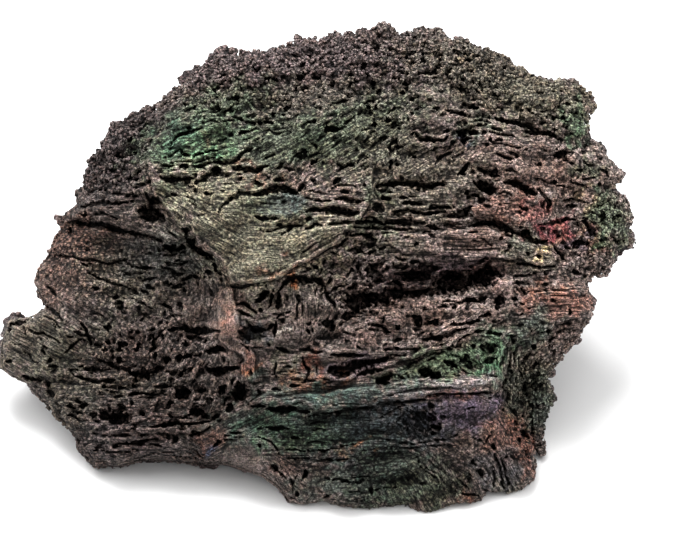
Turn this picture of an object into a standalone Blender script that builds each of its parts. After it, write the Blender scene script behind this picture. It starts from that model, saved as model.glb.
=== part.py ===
"""Turgite specimen: one spongy iron-oxide mass, 100 mm wide, whose broad face leans back at 45 degrees.

The broad face is laid out in face coordinates, in millimetres: u runs right, v runs up the slope and
w rises square to it. The lists below hold the outline, the broad heights and every plate, slot, pit
and ridge that shows from a step away.
"""

import math

import bmesh
import bpy
import numpy as np

MM = 0.001
LEAN = math.radians(45)  # slope of the broad face
GRID_STEP = 0.7  # spacing of the face grid
VOXEL = 0.62  # spacing of the even skin before it is thinned
TRIANGLES = 9700
RIM_DROP = 2.4  # how far the face turns down at its outline
RIM_WIDTH = 3.0
FALL = 1.35  # how steeply the hidden side falls away from the outline
REAR = 91.0  # where the hidden side stops, measured up the slope
FLOOR_SINK = 1.4  # how much of the underside the flat cut removes

# Outline of the broad face, anticlockwise from the left tip.
OUTLINE = [
    (-50, 26.3), (-50, 22.9), (-48.7, 21.6), (-46.1, 20.3), (-44.2, 18.4), (-42.1, 15.8),
    (-39.8, 13.7), (-38, 11.6), (-37.3, 9.8), (-35.4, 7.1), (-31.4, 7.1), (-28, 8.2),
    (-19.3, 7.7), (-14.1, 7.7), (-8.7, 5.8), (-5.9, 3.8), (-4.3, 1.4), (-2.8, 1.1),
    (1.2, 1.6), (4.3, 0.6), (8, 0.3), (13, 0.6), (16.9, -0.2), (19.3, -0.3), (21.7, 0.8),
    (26.1, 1.3), (26.7, 3), (29.5, 2.4), (32.5, 3.5), (34.1, 5.4), (34.4, 8.5), (35.7, 9),
    (35.8, 14.5), (37.1, 18), (36.1, 21.1), (38.2, 24.3), (41.3, 27.9), (43.2, 30.9),
    (42.9, 34), (42.3, 36.1), (45.6, 37.2), (46.9, 40), (47.4, 41.3), (49.8, 42.8),
    (49.2, 46), (48.7, 49), (46.4, 50.7), (48.3, 53.5), (45.4, 56.2), (44, 57.8),
    (42, 57.3), (42, 58.9), (42.9, 62.5), (44, 64.1), (42.9, 66), (40.9, 67.4),
    (36.6, 67.7), (33.8, 68.7), (30.6, 71.2), (24, 73.9), (22.4, 74.5), (21.3, 73.7),
    (19.3, 76.1), (16.1, 76.5), (14.7, 75.4), (12.7, 75.3), (10.5, 76.9), (8.7, 75.9),
    (5.1, 75.4), (3.2, 75.6), (1.7, 74.2), (-3.1, 74.7), (-5.9, 73.1), (-7.8, 71.8),
    (-10.9, 72.6), (-13.5, 71.5), (-15.7, 72.3), (-16.6, 70.9), (-19.5, 69), (-24.3, 64.9),
    (-26.4, 63.8), (-29.5, 62.5), (-30.8, 61.3), (-32.7, 61.4), (-32.8, 59.4),
    (-34.3, 57.6), (-36.1, 55), (-36.6, 53.1), (-36.5, 50.7), (-38.2, 50.7), (-37.9, 48.4),
    (-40.2, 46.3), (-40.6, 44.4), (-41.5, 43.2), (-42.6, 40.2), (-44.3, 38.1),
    (-44.7, 36.1), (-44, 34.2), (-42.6, 32), (-46.1, 30.2), (-48.9, 29.8), (-49.2, 28.2),
]

# Broad heights of the face: (u, v, w).
FACE = [
    (-30, 63, -14), (-18, 70, -15), (0, 75, -14), (15, 76, -14), (30, 71, -13),
    (42, 66, -10), (-8, 67, -7), (10, 69, -6), (26, 67, -6), (38, 62, -5), (-20, 61, -2),
    (0, 60, 0), (18, 60, 0), (30, 56, 0), (42, 55, -5), (47, 52, -9), (-36, 54, -14),
    (-30, 56, -9), (-26, 54, 0), (-15, 47, 3), (-9, 38, 5), (2, 46, 3), (16, 49, 2.5),
    (30, 48, 1), (44, 48, -8), (48, 43, -11), (43, 41, -7), (-40, 48, -12), (-31, 47, -4),
    (-24, 44, -2), (-43, 38, -11), (-34, 38, -6), (-22, 35, -5), (-18, 31, -4),
    (-47, 26, -10), (-39, 25, -7), (-30, 23, -4), (-20, 21, 0), (-14, 30, 4), (-4, 31, 3),
    (5, 40, 1), (14, 42, 2), (28, 41, 0), (8, 29, 3), (20, 30, 3), (31, 32, 0),
    (40, 33, -4), (20, 23, 2), (28, 23, 0), (33, 20, -7), (35, 13, -9), (-12, 20, 2),
    (-4, 18, 4), (10, 18.5, 4), (22, 20, 3.5), (-38, 14, -3), (-30, 11, 2), (-18, 10, 3),
    (-8, 10, 3), (4, 10, 3), (16, 10, 3), (26, 11, 2), (32, 9, -1), (0, 3, 1), (12, 2, 1),
    (24, 3, 0), (31, 4, -2), (-44, 19, -8),
]

# Where the face is coarse and knobbly, 1, and where it is even, 0: (u, v, share).
COARSE = [
    (-32, 60, 1), (-20, 68, 1), (-5, 71, 1), (10, 71, 1), (25, 70, 1), (38, 65, 1),
    (-34, 53, 1), (47, 45, 1), (44, 39, 1), (34, 18, 1), (-18, 57, 0), (0, 58, 0.2),
    (18, 57, 0.2), (-10, 42, 0), (-33, 38, 0), (-44, 26, 0), (30, 50, 0.3), (38, 33, 0),
    (-30, 23, 0.6), (-25, 13, 0.4), (0, 10, 0), (15, 8, 0), (28, 10, 0.2), (15, 30, 0.4),
]

# Raised or sunken plates: (outline, heights relative to the face as (u, v, w), edge width).
PLATES = {
    "leaf": (
        [(-24.5, 61), (-26.4, 57), (-26.8, 53.5), (-26, 50.5), (-24, 47.6), (-21.2, 45.2),
         (-19.2, 43), (-16.5, 40.6), (-14.2, 38), (-13.6, 35.8), (-9, 36), (-5.5, 37),
         (-2.5, 39.3), (0.5, 40.5), (3, 42.5), (5.3, 44.3), (7, 46.5), (8.7, 50), (9, 56),
         (2, 62), (-10, 63), (-20, 63)],
        [(-24, 60, 0.5), (-26, 53, 2.0), (-20, 45, 3.0), (-14, 38, 3.2), (-9, 37, 3.0),
         (0, 42, 2.4), (7, 48, 1.6), (0, 56, 0.4), (-10, 58, 0.2), (-15, 48, 2.0)],
        0.5),
    "brown_plate": (
        [(-44.8, 38), (-40.5, 45), (-37.8, 46), (-33, 45.6), (-29.5, 44.2), (-25.5, 43),
         (-22.5, 41.6), (-19.5, 43.3), (-17.3, 41), (-15.2, 38), (-14.6, 34), (-15.4, 31),
         (-16, 28.8), (-22.5, 28.8), (-25.5, 27.6), (-31, 28), (-36.5, 29.5), (-40.5, 30.2),
         (-43, 32.5), (-45.2, 35.5)],
        [(-42, 40, -0.4), (-33, 44, -2.6), (-24, 41, -2.2), (-17, 37, -1.6), (-30, 33, 0.2),
         (-40, 32, 0.5), (-18, 30, 0.8)],
        0.5),
    "left_ledge": (
        [(-38, 50), (-40.3, 46.4), (-38.5, 45.8), (-33, 46.4), (-30, 45), (-26, 43.8),
         (-22.8, 42.4), (-19.4, 44), (-22, 46), (-24.6, 48.3), (-27.5, 50.5), (-33, 50.5)],
        [(-38, 47, 0.8), (-31, 46, 1.2), (-24, 44, 0.8), (-30, 50, 0)],
        0.4),
    "column": (
        [(-15.6, 35.4), (-15.6, 30), (-15.4, 27), (-13.6, 25.4), (-12.2, 24.8), (-11.8, 22),
         (-12, 20.5), (-9.6, 20.5), (-9.6, 24), (-11.2, 26), (-12.3, 27.6), (-12.5, 31),
         (-13.4, 35.2)],
        [(-14, 34, 1.6), (-14, 27, 1.6), (-11, 21, 0.8)],
        0.4),
    "bench": (
        [(9, 31.9), (14, 31.9), (15, 33.4), (19, 33.6), (24, 34.6), (28, 37), (30.6, 36.8),
         (31, 32.5), (29, 30.5), (25, 28.8), (21.5, 26.9), (18, 25.4), (13, 23.9),
         (8, 24.8), (2, 25), (-0.5, 27), (3.6, 27.4), (5, 29.6), (8, 30.4)],
        [(12, 30, 1.6), (22, 32, 1.5), (28, 35, 1.0), (5, 26, 1.2), (18, 26, 1.6)],
        0.4),
    "ridge_plate": (
        [(-11.5, 18.4), (-6, 18.3), (0, 18.6), (9, 20), (16, 21), (28.6, 21.4), (28.6, 19.2),
         (22, 18.8), (15, 18.3), (8, 17), (2, 15.9), (-3.5, 16.7), (-10.5, 17.4)],
        [(-9, 18, 1.4), (5, 18, 1.8), (18, 20, 2.0), (28, 20, 1.4)],
        0.4),
    "striated_plate": (
        [(31.5, 36.6), (36, 36.4), (42.6, 36.3), (43, 33.5), (43.3, 30.6), (38, 29.9),
         (34, 30.3), (31.6, 32.6)],
        [(33, 34, 0.6), (41, 33, 1.4)],
        0.4),
    "right_sponge": (
        [(29.2, 25.5), (29, 20), (28, 18.3), (29.5, 16.5), (34, 14.2), (34.2, 9), (36.4, 9),
         (38, 18), (37, 21), (40, 25.5), (34.5, 26), (31, 28.2)],
        [(30, 24, -1.6), (33, 18, -2.2), (35.6, 11, -1.2), (37, 24, 0)],
        0.6),
    "centre_ledge": (
        [(11, 43.7), (16, 43.9), (24.5, 44.9), (30, 43.6), (33.6, 42.2), (38, 40.2),
         (37, 38.8), (30.6, 39.8), (22, 40.3), (14, 40.9), (11.5, 42)],
        [(14, 42, 1.0), (25, 42, 1.4), (35, 40, 1.6)],
        0.4),
}

# Slots and cracks: (points along them, half width, depth).
SLOTS = [
    ([(-24.8, 54.6), (-19, 54.4), (-15.5, 54.8), (-11.5, 55.4), (-7.3, 56.3)], 0.6, 2.2),
    ([(-24.6, 52.4), (-20.5, 52.2), (-17.5, 52.9), (-14, 53.4)], 0.7, 2.6),
    ([(-15.4, 47), (-14.6, 48.6), (-12, 49.9), (-9, 50.4), (-6, 50.6), (-3, 50.1)], 0.7, 2.4),
    ([(-1.6, 47.2), (2, 47.4), (6.8, 47.4)], 0.8, 2.6),
    ([(-1, 45), (5.6, 45.6)], 0.5, 1.6),
    ([(-37.6, 48.4), (-34, 48.7), (-30, 48.8)], 0.6, 2.4),
    ([(-37.8, 45.3), (-34, 45), (-31, 44.3), (-28, 43.3), (-25.5, 42.8)], 0.8, 1.8),
    ([(-42, 40.1), (-36, 39.6), (-29.5, 38.8)], 0.35, 0.9),
    ([(-36.3, 37.5), (-33, 36.2), (-29.5, 35.1)], 0.4, 1.0),
    ([(-37.2, 29.6), (-36.2, 27.6), (-35.2, 26.2)], 0.7, 1.8),
    ([(-45.6, 28.7), (-42.5, 27.8), (-40.2, 26.2)], 0.35, 0.8),
    ([(-23.4, 28.4), (-20.4, 28.6), (-17.4, 28.4), (-15.6, 28.6)], 0.8, 2.6),
    ([(-37.6, 20.8), (-34.4, 20.8)], 0.6, 1.6),
    ([(-28.5, 21.6), (-26, 21.8), (-23.4, 22.4), (-20, 22.2)], 0.9, 2.4),
    ([(-26.4, 13.4), (-22, 13.9), (-18.6, 14)], 0.5, 1.6),
    ([(-16.6, 22.4), (-14.4, 22.4), (-12.6, 22.8)], 0.8, 3.0),
    ([(-5.8, 34.9), (-4.4, 36), (-2.2, 36.6), (-0.2, 36), (1.2, 34.8), (2.2, 32.2)], 0.6, 2.8),
    ([(2, 22.4), (5, 22.6), (8, 23.2), (10.6, 23.9)], 0.9, 3.4),
    ([(6.3, 21.5), (8.5, 22), (10.4, 22.5)], 0.5, 2.2),
    ([(-10.4, 16.4), (-7, 16.4), (-3.8, 15.9)], 0.8, 2.6),
    ([(12, 17.3), (17, 18), (22, 18.4), (27, 18.7)], 0.5, 1.4),
    ([(9.2, 50.9), (12, 51.3), (15, 51), (19, 50.6)], 1.1, 3.2),
    ([(12.5, 48.6), (16.8, 48.6)], 0.5, 1.8),
    ([(13, 47.3), (17, 47.6), (21.6, 47.5)], 0.7, 2.4),
    ([(20.4, 46.2), (22.5, 46.8), (24.6, 47.6)], 0.6, 2.4),
    ([(6.6, 45.5), (10, 45.5), (13, 45.3), (17, 45.4)], 0.7, 2.4),
    ([(24.5, 45.6), (27.5, 45.4), (30, 44.8), (32.5, 44), (34, 43), (36.4, 42.2)], 0.8, 2.8),
    ([(15.4, 59.5), (17, 58.6), (19, 58.4), (20.9, 59.2)], 0.6, 2.0),
    ([(22.1, 53.1), (23.8, 54.9)], 0.8, 2.6),
    ([(29.6, 51.2), (31.5, 51.6), (33.6, 50.8), (35.6, 49.9), (36.8, 48.4)], 0.8, 3.2),
    ([(28.3, 61.9), (31.5, 61.2), (34.5, 60.2), (37.8, 59.2)], 0.7, 2.6),
    ([(26.5, 58.4), (29.5, 57.6), (33, 56.9)], 0.35, 0.9),
    ([(34.6, 45.3), (37.5, 45.6), (41.4, 45.6)], 0.5, 1.6),
    ([(20.5, 63.2), (23, 62.9), (25.6, 63.8)], 0.5, 1.6),
    ([(-30.6, 51.7), (-29, 53), (-27.4, 54.1)], 0.7, 2.0),
    ([(-16, 61.6), (-11.5, 61.6), (-7.4, 60.8)], 0.5, 1.4),
    ([(-23.4, 57.4), (-21.5, 59.3), (-18.4, 60.2)], 0.5, 1.2),
    ([(16.6, 27), (19.5, 27.7), (23.2, 28.9)], 0.6, 1.8),
    ([(21.6, 29.6), (25.1, 30.4)], 0.5, 1.8),
    ([(30.8, 37.2), (34.4, 37.4)], 0.5, 1.8),
    ([(-8, 7.6), (-5.6, 6.2), (-4.2, 4.6)], 0.7, 2.0),
    ([(-2.6, 6.7), (-2.4, 4.9)], 0.6, 2.2),
    ([(-5, 8.4), (1, 8.6), (6, 8.2)], 0.5, 1.0),
    ([(22, 2.8), (24.6, 2.4)], 0.5, 1.2),
]

# Pits and hollows: (u, v, half width, half height, turn in degrees, depth).
PITS = [
    (-26.3, 47.1, 2.1, 1.2, -10, 4.2), (-25.8, 49.3, 0.9, 1.1, 0, 2.0),
    (-20.6, 44.4, 1.0, 0.8, 0, 2.4), (-22.2, 41.9, 2.1, 0.9, -8, 3.0),
    (-17.4, 41.2, 1.4, 1.0, -40, 2.6), (-45.0, 20.9, 1.5, 0.6, -20, 2.0),
    (-25.7, 26.0, 0.8, 1.7, -10, 2.2), (-31.0, 26.0, 1.2, 0.9, 0, 1.8),
    (-24.0, 23.9, 1.2, 0.8, 20, 2.0), (-20.8, 18.3, 1.6, 1.2, 10, 3.0),
    (-18.9, 15.6, 1.6, 0.9, 0, 2.6), (-31.2, 15.0, 2.0, 1.9, 0, 4.2),
    (-16.0, 25.3, 1.8, 0.8, 0, 3.0), (-12.3, 18.8, 1.3, 1.6, 0, 3.2),
    (-13.8, 16.4, 1.0, 1.2, 0, 2.4), (-11.0, 32.6, 1.3, 0.8, -25, 2.2),
    (-8.4, 33.8, 1.3, 1.0, 0, 3.0), (-6.6, 33.4, 0.6, 1.7, 0, 2.2),
    (-10.0, 28.3, 2.3, 1.6, 0, 2.6), (-6.6, 28.8, 0.6, 1.2, 0, 2.4),
    (1.8, 29.4, 1.6, 1.0, -15, 2.4), (17.7, 22.0, 1.8, 1.1, 0, 3.4),
    (21.4, 23.4, 1.2, 0.6, -25, 2.2), (27.3, 25.6, 1.9, 1.7, 0, 1.4),
    (10.6, 20.9, 1.4, 0.9, 15, 2.6), (15.4, 13.8, 3.6, 2.6, -15, 1.8),
    (18.3, 13.2, 1.2, 1.8, -10, 1.2), (7.8, 43.5, 1.9, 1.0, 0, 2.2),
    (5.8, 41.2, 1.6, 0.9, 0, 2.2), (8.6, 37.6, 1.5, 1.3, 0, 2.0),
    (23.4, 59.0, 1.8, 1.4, 0, 3.2), (26.4, 51.3, 1.9, 1.3, 0, 4.4),
    (27.2, 53.4, 1.3, 0.6, -15, 1.8), (35.5, 62.5, 0.8, 0.6, 0, 1.6),
    (38.4, 56.4, 1.6, 0.9, 15, 2.8), (41.3, 42.2, 1.7, 1.0, 0, 2.0),
    (42.0, 45.4, 0.8, 0.7, 0, 1.6), (7.6, 33.0, 4.2, 1.8, 8, 4.8), (13.4, 34.3, 3.0, 1.2, 0, 4.0),
    (18.0, 34.9, 3.0, 1.1, 8, 3.8), (22.8, 36.1, 4.0, 1.6, 10, 5.4),
    (27.6, 37.4, 2.2, 0.7, 10, 2.8), (15.0, 38.2, 4.4, 1.5, 0, 2.6),
    (10.4, 29.6, 1.1, 0.9, 0, 2.4), (15.6, 30.3, 1.1, 0.9, 0, 2.2), (18.3, 29.7, 1.1, 0.6, 0, 1.8),
    (25.0, 33.0, 1.9, 1.0, 0, 2.8), (28.3, 33.0, 1.1, 1.1, 0, 2.8), (2.6, 60.3, 1.3, 0.8, 0, 2.8),
    (5.2, 54.6, 0.9, 0.5, 0, 1.4), (-2.4, 5.6, 0.7, 1.2, 0, 1.2), (31.5, 33.4, 0.8, 0.5, 0, 1.2),
]

# Ridges and ribs: (points along them, half width, height).
RIDGES = [
    ([(-10.8, 17.9), (-5, 17.4), (-1, 16.7), (4, 17), (9, 17.8), (13, 19), (18, 20.2),
      (28, 20.6)], 0.7, 0.8),
    ([(4.5, 21.1), (6.3, 22), (8.4, 22.8), (13, 23.9), (19, 25.9), (25, 29), (29, 31)], 0.6, 0.7),
    ([(-33.6, 19.6), (-28, 18.6), (-23, 20.2), (-19.5, 21.2)], 0.7, 0.8),
    ([(-33, 12.9), (-29, 13.2), (-24, 12.6), (-18, 13)], 0.6, 0.9),
    ([(-31.6, 17.2), (-29, 15.4), (-26, 14.8)], 0.5, 0.6),
    ([(15.2, 60.1), (17, 59.5), (19, 59.3), (20.8, 60.1)], 0.6, 0.9),
    ([(8.2, 49.8), (7.2, 48), (8, 46)], 0.7, 0.9),
    ([(4.6, 35.2), (9, 35.3), (12.6, 35.6)], 0.5, 0.9),
    ([(28.6, 51.8), (28.6, 50.3), (30.2, 49.9)], 0.6, 0.9),
    ([(10, 10.4), (15, 10.6), (20, 11)], 0.5, 0.5),
]

# Rounded swellings: (u, v, half width, half height, turn in degrees, height).
SWELLINGS = [
    (-2.0, 31.8, 3.4, 4.6, 0, 2.0), (28.9, 36.0, 2.0, 1.8, 0, 1.2), (12.5, 31.2, 2.2, 1.6, 0, 1.0),
    (17.2, 32.6, 1.8, 1.2, 0, 1.0), (-9.9, 21.4, 1.2, 1.0, 0, 0.9), (-30.0, 63.0, 4.0, 2.6, 30, 1.2),
    (-18.0, 69.0, 4.0, 2.2, 25, 1.0), (18.0, 73.0, 5.0, 2.8, 0, 1.2), (2.0, 71.0, 6.0, 3.0, 0, 1.0),
    (36.0, 65.0, 5.0, 2.6, 0, 1.2), (46.5, 45.0, 2.6, 3.2, 0, 1.4), (45.0, 39.5, 2.2, 1.8, 0, 1.0),
    (-20.5, 31.6, 3.0, 1.8, -10, 0.9), (35.4, 18.4, 1.8, 2.8, 0, 1.2), (30.5, 5.5, 3.0, 2.4, 0, 0.9),
    (4.0, 4.4, 6.0, 2.0, 0, 0.9), (-40.0, 28.5, 4.0, 1.8, -20, 0.8),
]

# Lumps that stand out all round: (x, y, z, radius, swell), in millimetres from the base centre.
LUMPS = [
    (-30, 26, 22, 11, 1.4), (-12, 31, 34, 12, 1.3), (14, 32, 34, 13, 1.4), (32, 22, 30, 11, 1.3),
    (40, 8, 14, 10, 1.2), (20, 30, 14, 12, 1.5), (-6, 27, 12, 13, 1.4), (-34, 12, 10, 10, 1.3),
    (36, 24, 12, 10, 1.2), (-24, 24, 8, 9, -1.6), (4, 33, 22, 8, -1.5), (30, 29, 22, 7, -1.4),
    (-20, 31, 24, 7, -1.3), (46, 10, 24, 8, 1.0), (12, 24, 2, 9, -1.0),
]


def smooth_step(x):
    x = np.clip(x, 0.0, 1.0)
    return x * x * (3.0 - 2.0 * x)


def waves(points, wavelength, seed, count=24):
    """Smooth noise of about unit spread: many cosines of one wavelength, turned every way."""
    rng = np.random.default_rng(seed)
    turn = rng.normal(size=(count, points.shape[-1]))
    turn /= np.linalg.norm(turn, axis=1, keepdims=True)
    phase = rng.uniform(0, 2 * math.pi, count)
    total = np.zeros(points.shape[:-1])
    for direction, start in zip(turn, phase):
        total += np.cos(points @ direction * (2 * math.pi / wavelength) + start)
    return total * math.sqrt(2.0 / count)


def line_distance(u, v, points):
    """Distance to a broken line, and how far along it the nearest point lies, from 0 to 1."""
    ends = np.array(points, float)
    steps = np.linalg.norm(np.diff(ends, axis=0), axis=1)
    run = np.concatenate([[0.0], np.cumsum(steps)])
    best = np.full(u.shape, 1e9)
    along = np.zeros(u.shape)
    for i, length in enumerate(steps):
        du, dv = (ends[i + 1] - ends[i]) / length
        t = np.clip((u - ends[i, 0]) * du + (v - ends[i, 1]) * dv, 0.0, length)
        gap = np.hypot(u - ends[i, 0] - t * du, v - ends[i, 1] - t * dv)
        nearer = gap < best
        best = np.where(nearer, gap, best)
        along = np.where(nearer, (run[i] + t) / run[-1], along)
    return best, along


def inside(u, v, outline):
    """Which points lie within a closed outline."""
    odd = np.zeros(u.shape, bool)
    for (au, av), (bu, bv) in zip(outline, outline[1:] + outline[:1]):
        crosses = (av > v) != (bv > v)
        reach = au + (v - av) * (bu - au) / (bv - av if bv != av else 1e-9)
        odd ^= crosses & (u < reach)
    return odd


def depth_inside(u, v, outline):
    """Distance to a closed outline, positive within it."""
    gap, _ = line_distance(u, v, outline + outline[:1])
    return np.where(inside(u, v, outline), gap, -gap)


def blend(u, v, heights, soft):
    """A smooth surface near scattered heights (u, v, w)."""
    total = np.zeros(u.shape)
    weight = np.zeros(u.shape)
    for pu, pv, pw in heights:
        share = 1.0 / ((u - pu) ** 2 + (v - pv) ** 2 + soft * soft) ** 1.5
        total += share * pw
        weight += share
    return total / weight


def oval(u, v, cu, cv, ru, rv, turn):
    """Distance from an oval's centre, 1 at its edge."""
    c, s = math.cos(math.radians(turn)), math.sin(math.radians(turn))
    du, dv = u - cu, v - cv
    return np.hypot((du * c + dv * s) / ru, (dv * c - du * s) / rv)


def front_height(u, v, edge):
    """Height of the broad face, with everything cut into it and standing on it."""
    points = np.stack([u, v], axis=-1)
    uu = u + 0.35 * waves(points, 5.0, 1)
    vv = v + 0.3 * waves(points, 5.0, 2)
    w = blend(u, v, FACE, 2.5)
    w = w + 0.35 * waves(points * (1, 1.9), 7.0, 3)
    w = w + 0.3 * waves(points, 4.2, 9) * np.clip(blend(u, v, COARSE, 3.0), 0, 1)
    for outline, heights, width in PLATES.values():
        share = smooth_step(0.5 + depth_inside(uu, vv, outline) / (2 * width))
        w = w + share * blend(u, v, heights, 2.0)
    for cu, cv, ru, rv, turn, rise in SWELLINGS:
        w = w + rise * np.clip(1 - oval(uu, vv, cu, cv, ru * 1.25, rv * 1.25, turn) ** 2, 0, 1)
    for points_on, half, rise in RIDGES:
        gap, _ = line_distance(uu, vv, points_on)
        w = w + rise * smooth_step(1.3 - gap / half)
    for points_on, half, depth in SLOTS:
        gap, along = line_distance(uu, vv, points_on)
        local = half * (0.45 + 0.75 * np.sin(math.pi * along))
        w = w - depth * smooth_step(1.5 - gap / local)
    for cu, cv, ru, rv, turn, depth in PITS:
        w = w - depth * smooth_step(1.5 - oval(uu, vv, cu, cv, ru, rv, turn))
    turned = np.sqrt(np.clip(1 - (1 - np.clip(edge / RIM_WIDTH, 0, 1)) ** 2, 0, 1))
    return w - RIM_DROP * (1 - turned)


def back_height(u, v, edge):
    """Height of the hidden side: it falls away from the rim down to the floor."""
    points = np.stack([u, v], axis=-1)
    broad = blend(u, v, FACE, 7.0)
    fall = FALL * edge + 3.2 * (1 - np.exp(-edge / 1.6))
    back = broad - RIM_DROP - fall + 0.9 * waves(points, 14.0, 4) * np.clip(edge / 4, 0, 1)
    rear = v - REAR + 1.2 * waves(points, 18.0, 8)
    return np.maximum(np.maximum(back, rear), -v - FLOOR_SINK)


def face_to_room(points):
    """Face coordinates (u, v, w) to room coordinates: the face leans back, the floor is level."""
    u, v, w = points.T
    c, s = math.cos(LEAN), math.sin(LEAN)
    return np.column_stack([u, v * s - w * c, v * c + w * s])


def nearest_on_outline(u, v, outline):
    """The nearest point of the outline to (u, v)."""
    best = (1e9, u, v)
    for (au, av), (bu, bv) in zip(outline, outline[1:] + outline[:1]):
        du, dv = bu - au, bv - av
        t = min(1.0, max(0.0, ((u - au) * du + (v - av) * dv) / (du * du + dv * dv)))
        pu, pv = au + t * du, av + t * dv
        best = min(best, (math.hypot(u - pu, v - pv), pu, pv))
    return best[1:]


def face_sheet():
    """A flat grid trimmed to the outline, its rim drawn onto it."""
    us = np.arange(-51.0, 51.0, GRID_STEP)
    vs = np.arange(-1.5, 78.0, GRID_STEP)
    u, v = np.meshgrid(us, vs, indexing="ij")
    keep = depth_inside(u, v, OUTLINE) > 0.3 * GRID_STEP
    bm = bmesh.new()
    verts = {(i, j): bm.verts.new((us[i], vs[j], 0)) for i, j in zip(*np.nonzero(keep))}
    for i, j in list(verts):
        corners = [(i, j), (i + 1, j), (i + 1, j + 1), (i, j + 1)]
        if all(c in verts for c in corners):
            bm.faces.new([verts[c] for c in corners])
    loose = [vert for vert in bm.verts if not vert.link_faces]
    bmesh.ops.delete(bm, geom=loose, context="VERTS")
    for vert in bm.verts:
        if vert.is_boundary:
            vert.co.x, vert.co.y = nearest_on_outline(vert.co.x, vert.co.y, OUTLINE)
    return bm


def rough_block():
    """The closed block between the broad face and the hidden side, in face coordinates."""
    bm = face_sheet()
    back = list(bm.verts)
    made = bmesh.ops.extrude_face_region(bm, geom=list(bm.faces))
    front = [item for item in made["geom"] if isinstance(item, bmesh.types.BMVert)]
    for verts, height, lift in ((front, front_height, 0.4), (back, back_height, -0.4)):
        u = np.array([vert.co.x for vert in verts])
        v = np.array([vert.co.y for vert in verts])
        edge = np.maximum(depth_inside(u, v, OUTLINE), 0)
        for vert, w in zip(verts, height(u, v, edge) + lift):
            vert.co.z = w
    places = face_to_room(np.array([vert.co[:] for vert in bm.verts]))
    for vert, place in zip(bm.verts, places):
        vert.co = place * MM
    bmesh.ops.recalc_face_normals(bm, faces=bm.faces)
    mesh = bpy.data.meshes.new("rough_block")
    bm.to_mesh(mesh)
    bm.free()
    return mesh


def settled(obj):
    """The object's mesh with its modifiers made real."""
    graph = bpy.context.evaluated_depsgraph_get()
    mesh = bpy.data.meshes.new_from_object(obj.evaluated_get(graph))
    obj.modifiers.clear()
    obj.data = mesh
    return mesh


def coordinates(mesh):
    flat = np.empty(len(mesh.vertices) * 3, np.float32)
    mesh.vertices.foreach_get("co", flat)
    return flat.reshape(-1, 3).astype(float)


def normals(mesh):
    flat = np.empty(len(mesh.vertices) * 3, np.float32)
    mesh.vertices.foreach_get("normal", flat)
    return flat.reshape(-1, 3).astype(float)


def roughen(mesh):
    """Swells the lumps, cuts the strata into the sides and back, and pocks the whole skin."""
    places = coordinates(mesh) / MM
    out = normals(mesh)
    toward = (0, -math.sin(LEAN), math.cos(LEAN))
    hidden = smooth_step(0.55 - out @ np.array(toward))[:, None]
    swell = np.zeros(len(places))
    middle = 0.5 * (places.min(axis=0) + places.max(axis=0))
    for x, y, z, radius, rise in LUMPS:
        centre = np.array((x, y + middle[1], z))
        swell += rise * np.exp(-(((places - centre) / (radius * 0.6)) ** 2).sum(axis=1))
    warp = 1.3 * waves(places, 17.0, 5)
    bed = (places[:, 2] + warp + 0.12 * places[:, 0]) / 4.3
    ledge = smooth_step(np.abs((bed % 1.0) - 0.5) * 2.6)
    side = swell + 0.9 * ledge - 0.5 + 0.4 * waves(places, 6.5, 6)
    skin = 0.06 * waves(places, 3.0, 7)
    moved = places + out * (hidden * side[:, None] + skin[:, None])
    mesh.vertices.foreach_set("co", (moved * MM).astype(np.float32).ravel())
    mesh.update()
    return 0.8 - 0.6 * hidden[:, 0]


def keep_detail(obj, shares):
    """A vertex group that keeps more facets on the broad face than on the hidden side."""
    group = obj.vertex_groups.new(name="detail")
    for level in range(11):
        chosen = np.nonzero(np.round(shares * 10) == level)[0].tolist()
        group.add(chosen, level / 10.0, "REPLACE")


def cut_flat(mesh):
    """Cuts the underside off level at the floor and closes it with one flat face."""
    bm = bmesh.new()
    bm.from_mesh(mesh)
    everything = list(bm.verts) + list(bm.edges) + list(bm.faces)
    bmesh.ops.bisect_plane(
        bm, geom=everything, plane_co=(0, 0, 0), plane_no=(0, 0, 1), clear_inner=True
    )
    rim = [edge for edge in bm.edges if edge.is_boundary]
    bmesh.ops.triangle_fill(bm, edges=rim, use_beauty=True)
    bmesh.ops.triangulate(bm, faces=list(bm.faces))
    bmesh.ops.recalc_face_normals(bm, faces=bm.faces)
    bm.to_mesh(mesh)
    bm.free()


def stand_on_origin(mesh):
    """Puts the middle of the box's underside at the origin."""
    places = coordinates(mesh)
    low, high = places.min(axis=0), places.max(axis=0)
    places -= (0.5 * (low[0] + high[0]), 0.5 * (low[1] + high[1]), low[2])
    mesh.vertices.foreach_set("co", places.astype(np.float32).ravel())
    mesh.update()


def turgite_material():
    material = bpy.data.materials.new("turgite")
    material.use_nodes = True
    shader = material.node_tree.nodes["Principled BSDF"]
    shader.inputs["Base Color"].default_value = (0.075, 0.062, 0.052, 1)
    shader.inputs["Roughness"].default_value = 0.72
    shader.inputs["Metallic"].default_value = 0.15
    return material


def main():
    for obj in list(bpy.data.objects):
        bpy.data.objects.remove(obj)
    specimen = bpy.data.objects.new("turgite_specimen", rough_block())
    bpy.context.scene.collection.objects.link(specimen)
    remesh = specimen.modifiers.new("even_skin", "REMESH")
    remesh.mode = "VOXEL"
    remesh.voxel_size = VOXEL * MM
    keep_detail(specimen, roughen(settled(specimen)))
    thin = specimen.modifiers.new("thin_out", "DECIMATE")
    thin.ratio = TRIANGLES / (2.0 * len(specimen.data.polygons))
    thin.vertex_group = "detail"
    thin.invert_vertex_group = True
    thin.vertex_group_factor = 1.0
    mesh = settled(specimen)
    cut_flat(mesh)
    stand_on_origin(mesh)
    mesh.shade_smooth()
    mesh.set_sharp_from_angle(angle=math.radians(40))
    mesh.materials.clear()
    mesh.materials.append(turgite_material())


main()
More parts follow.
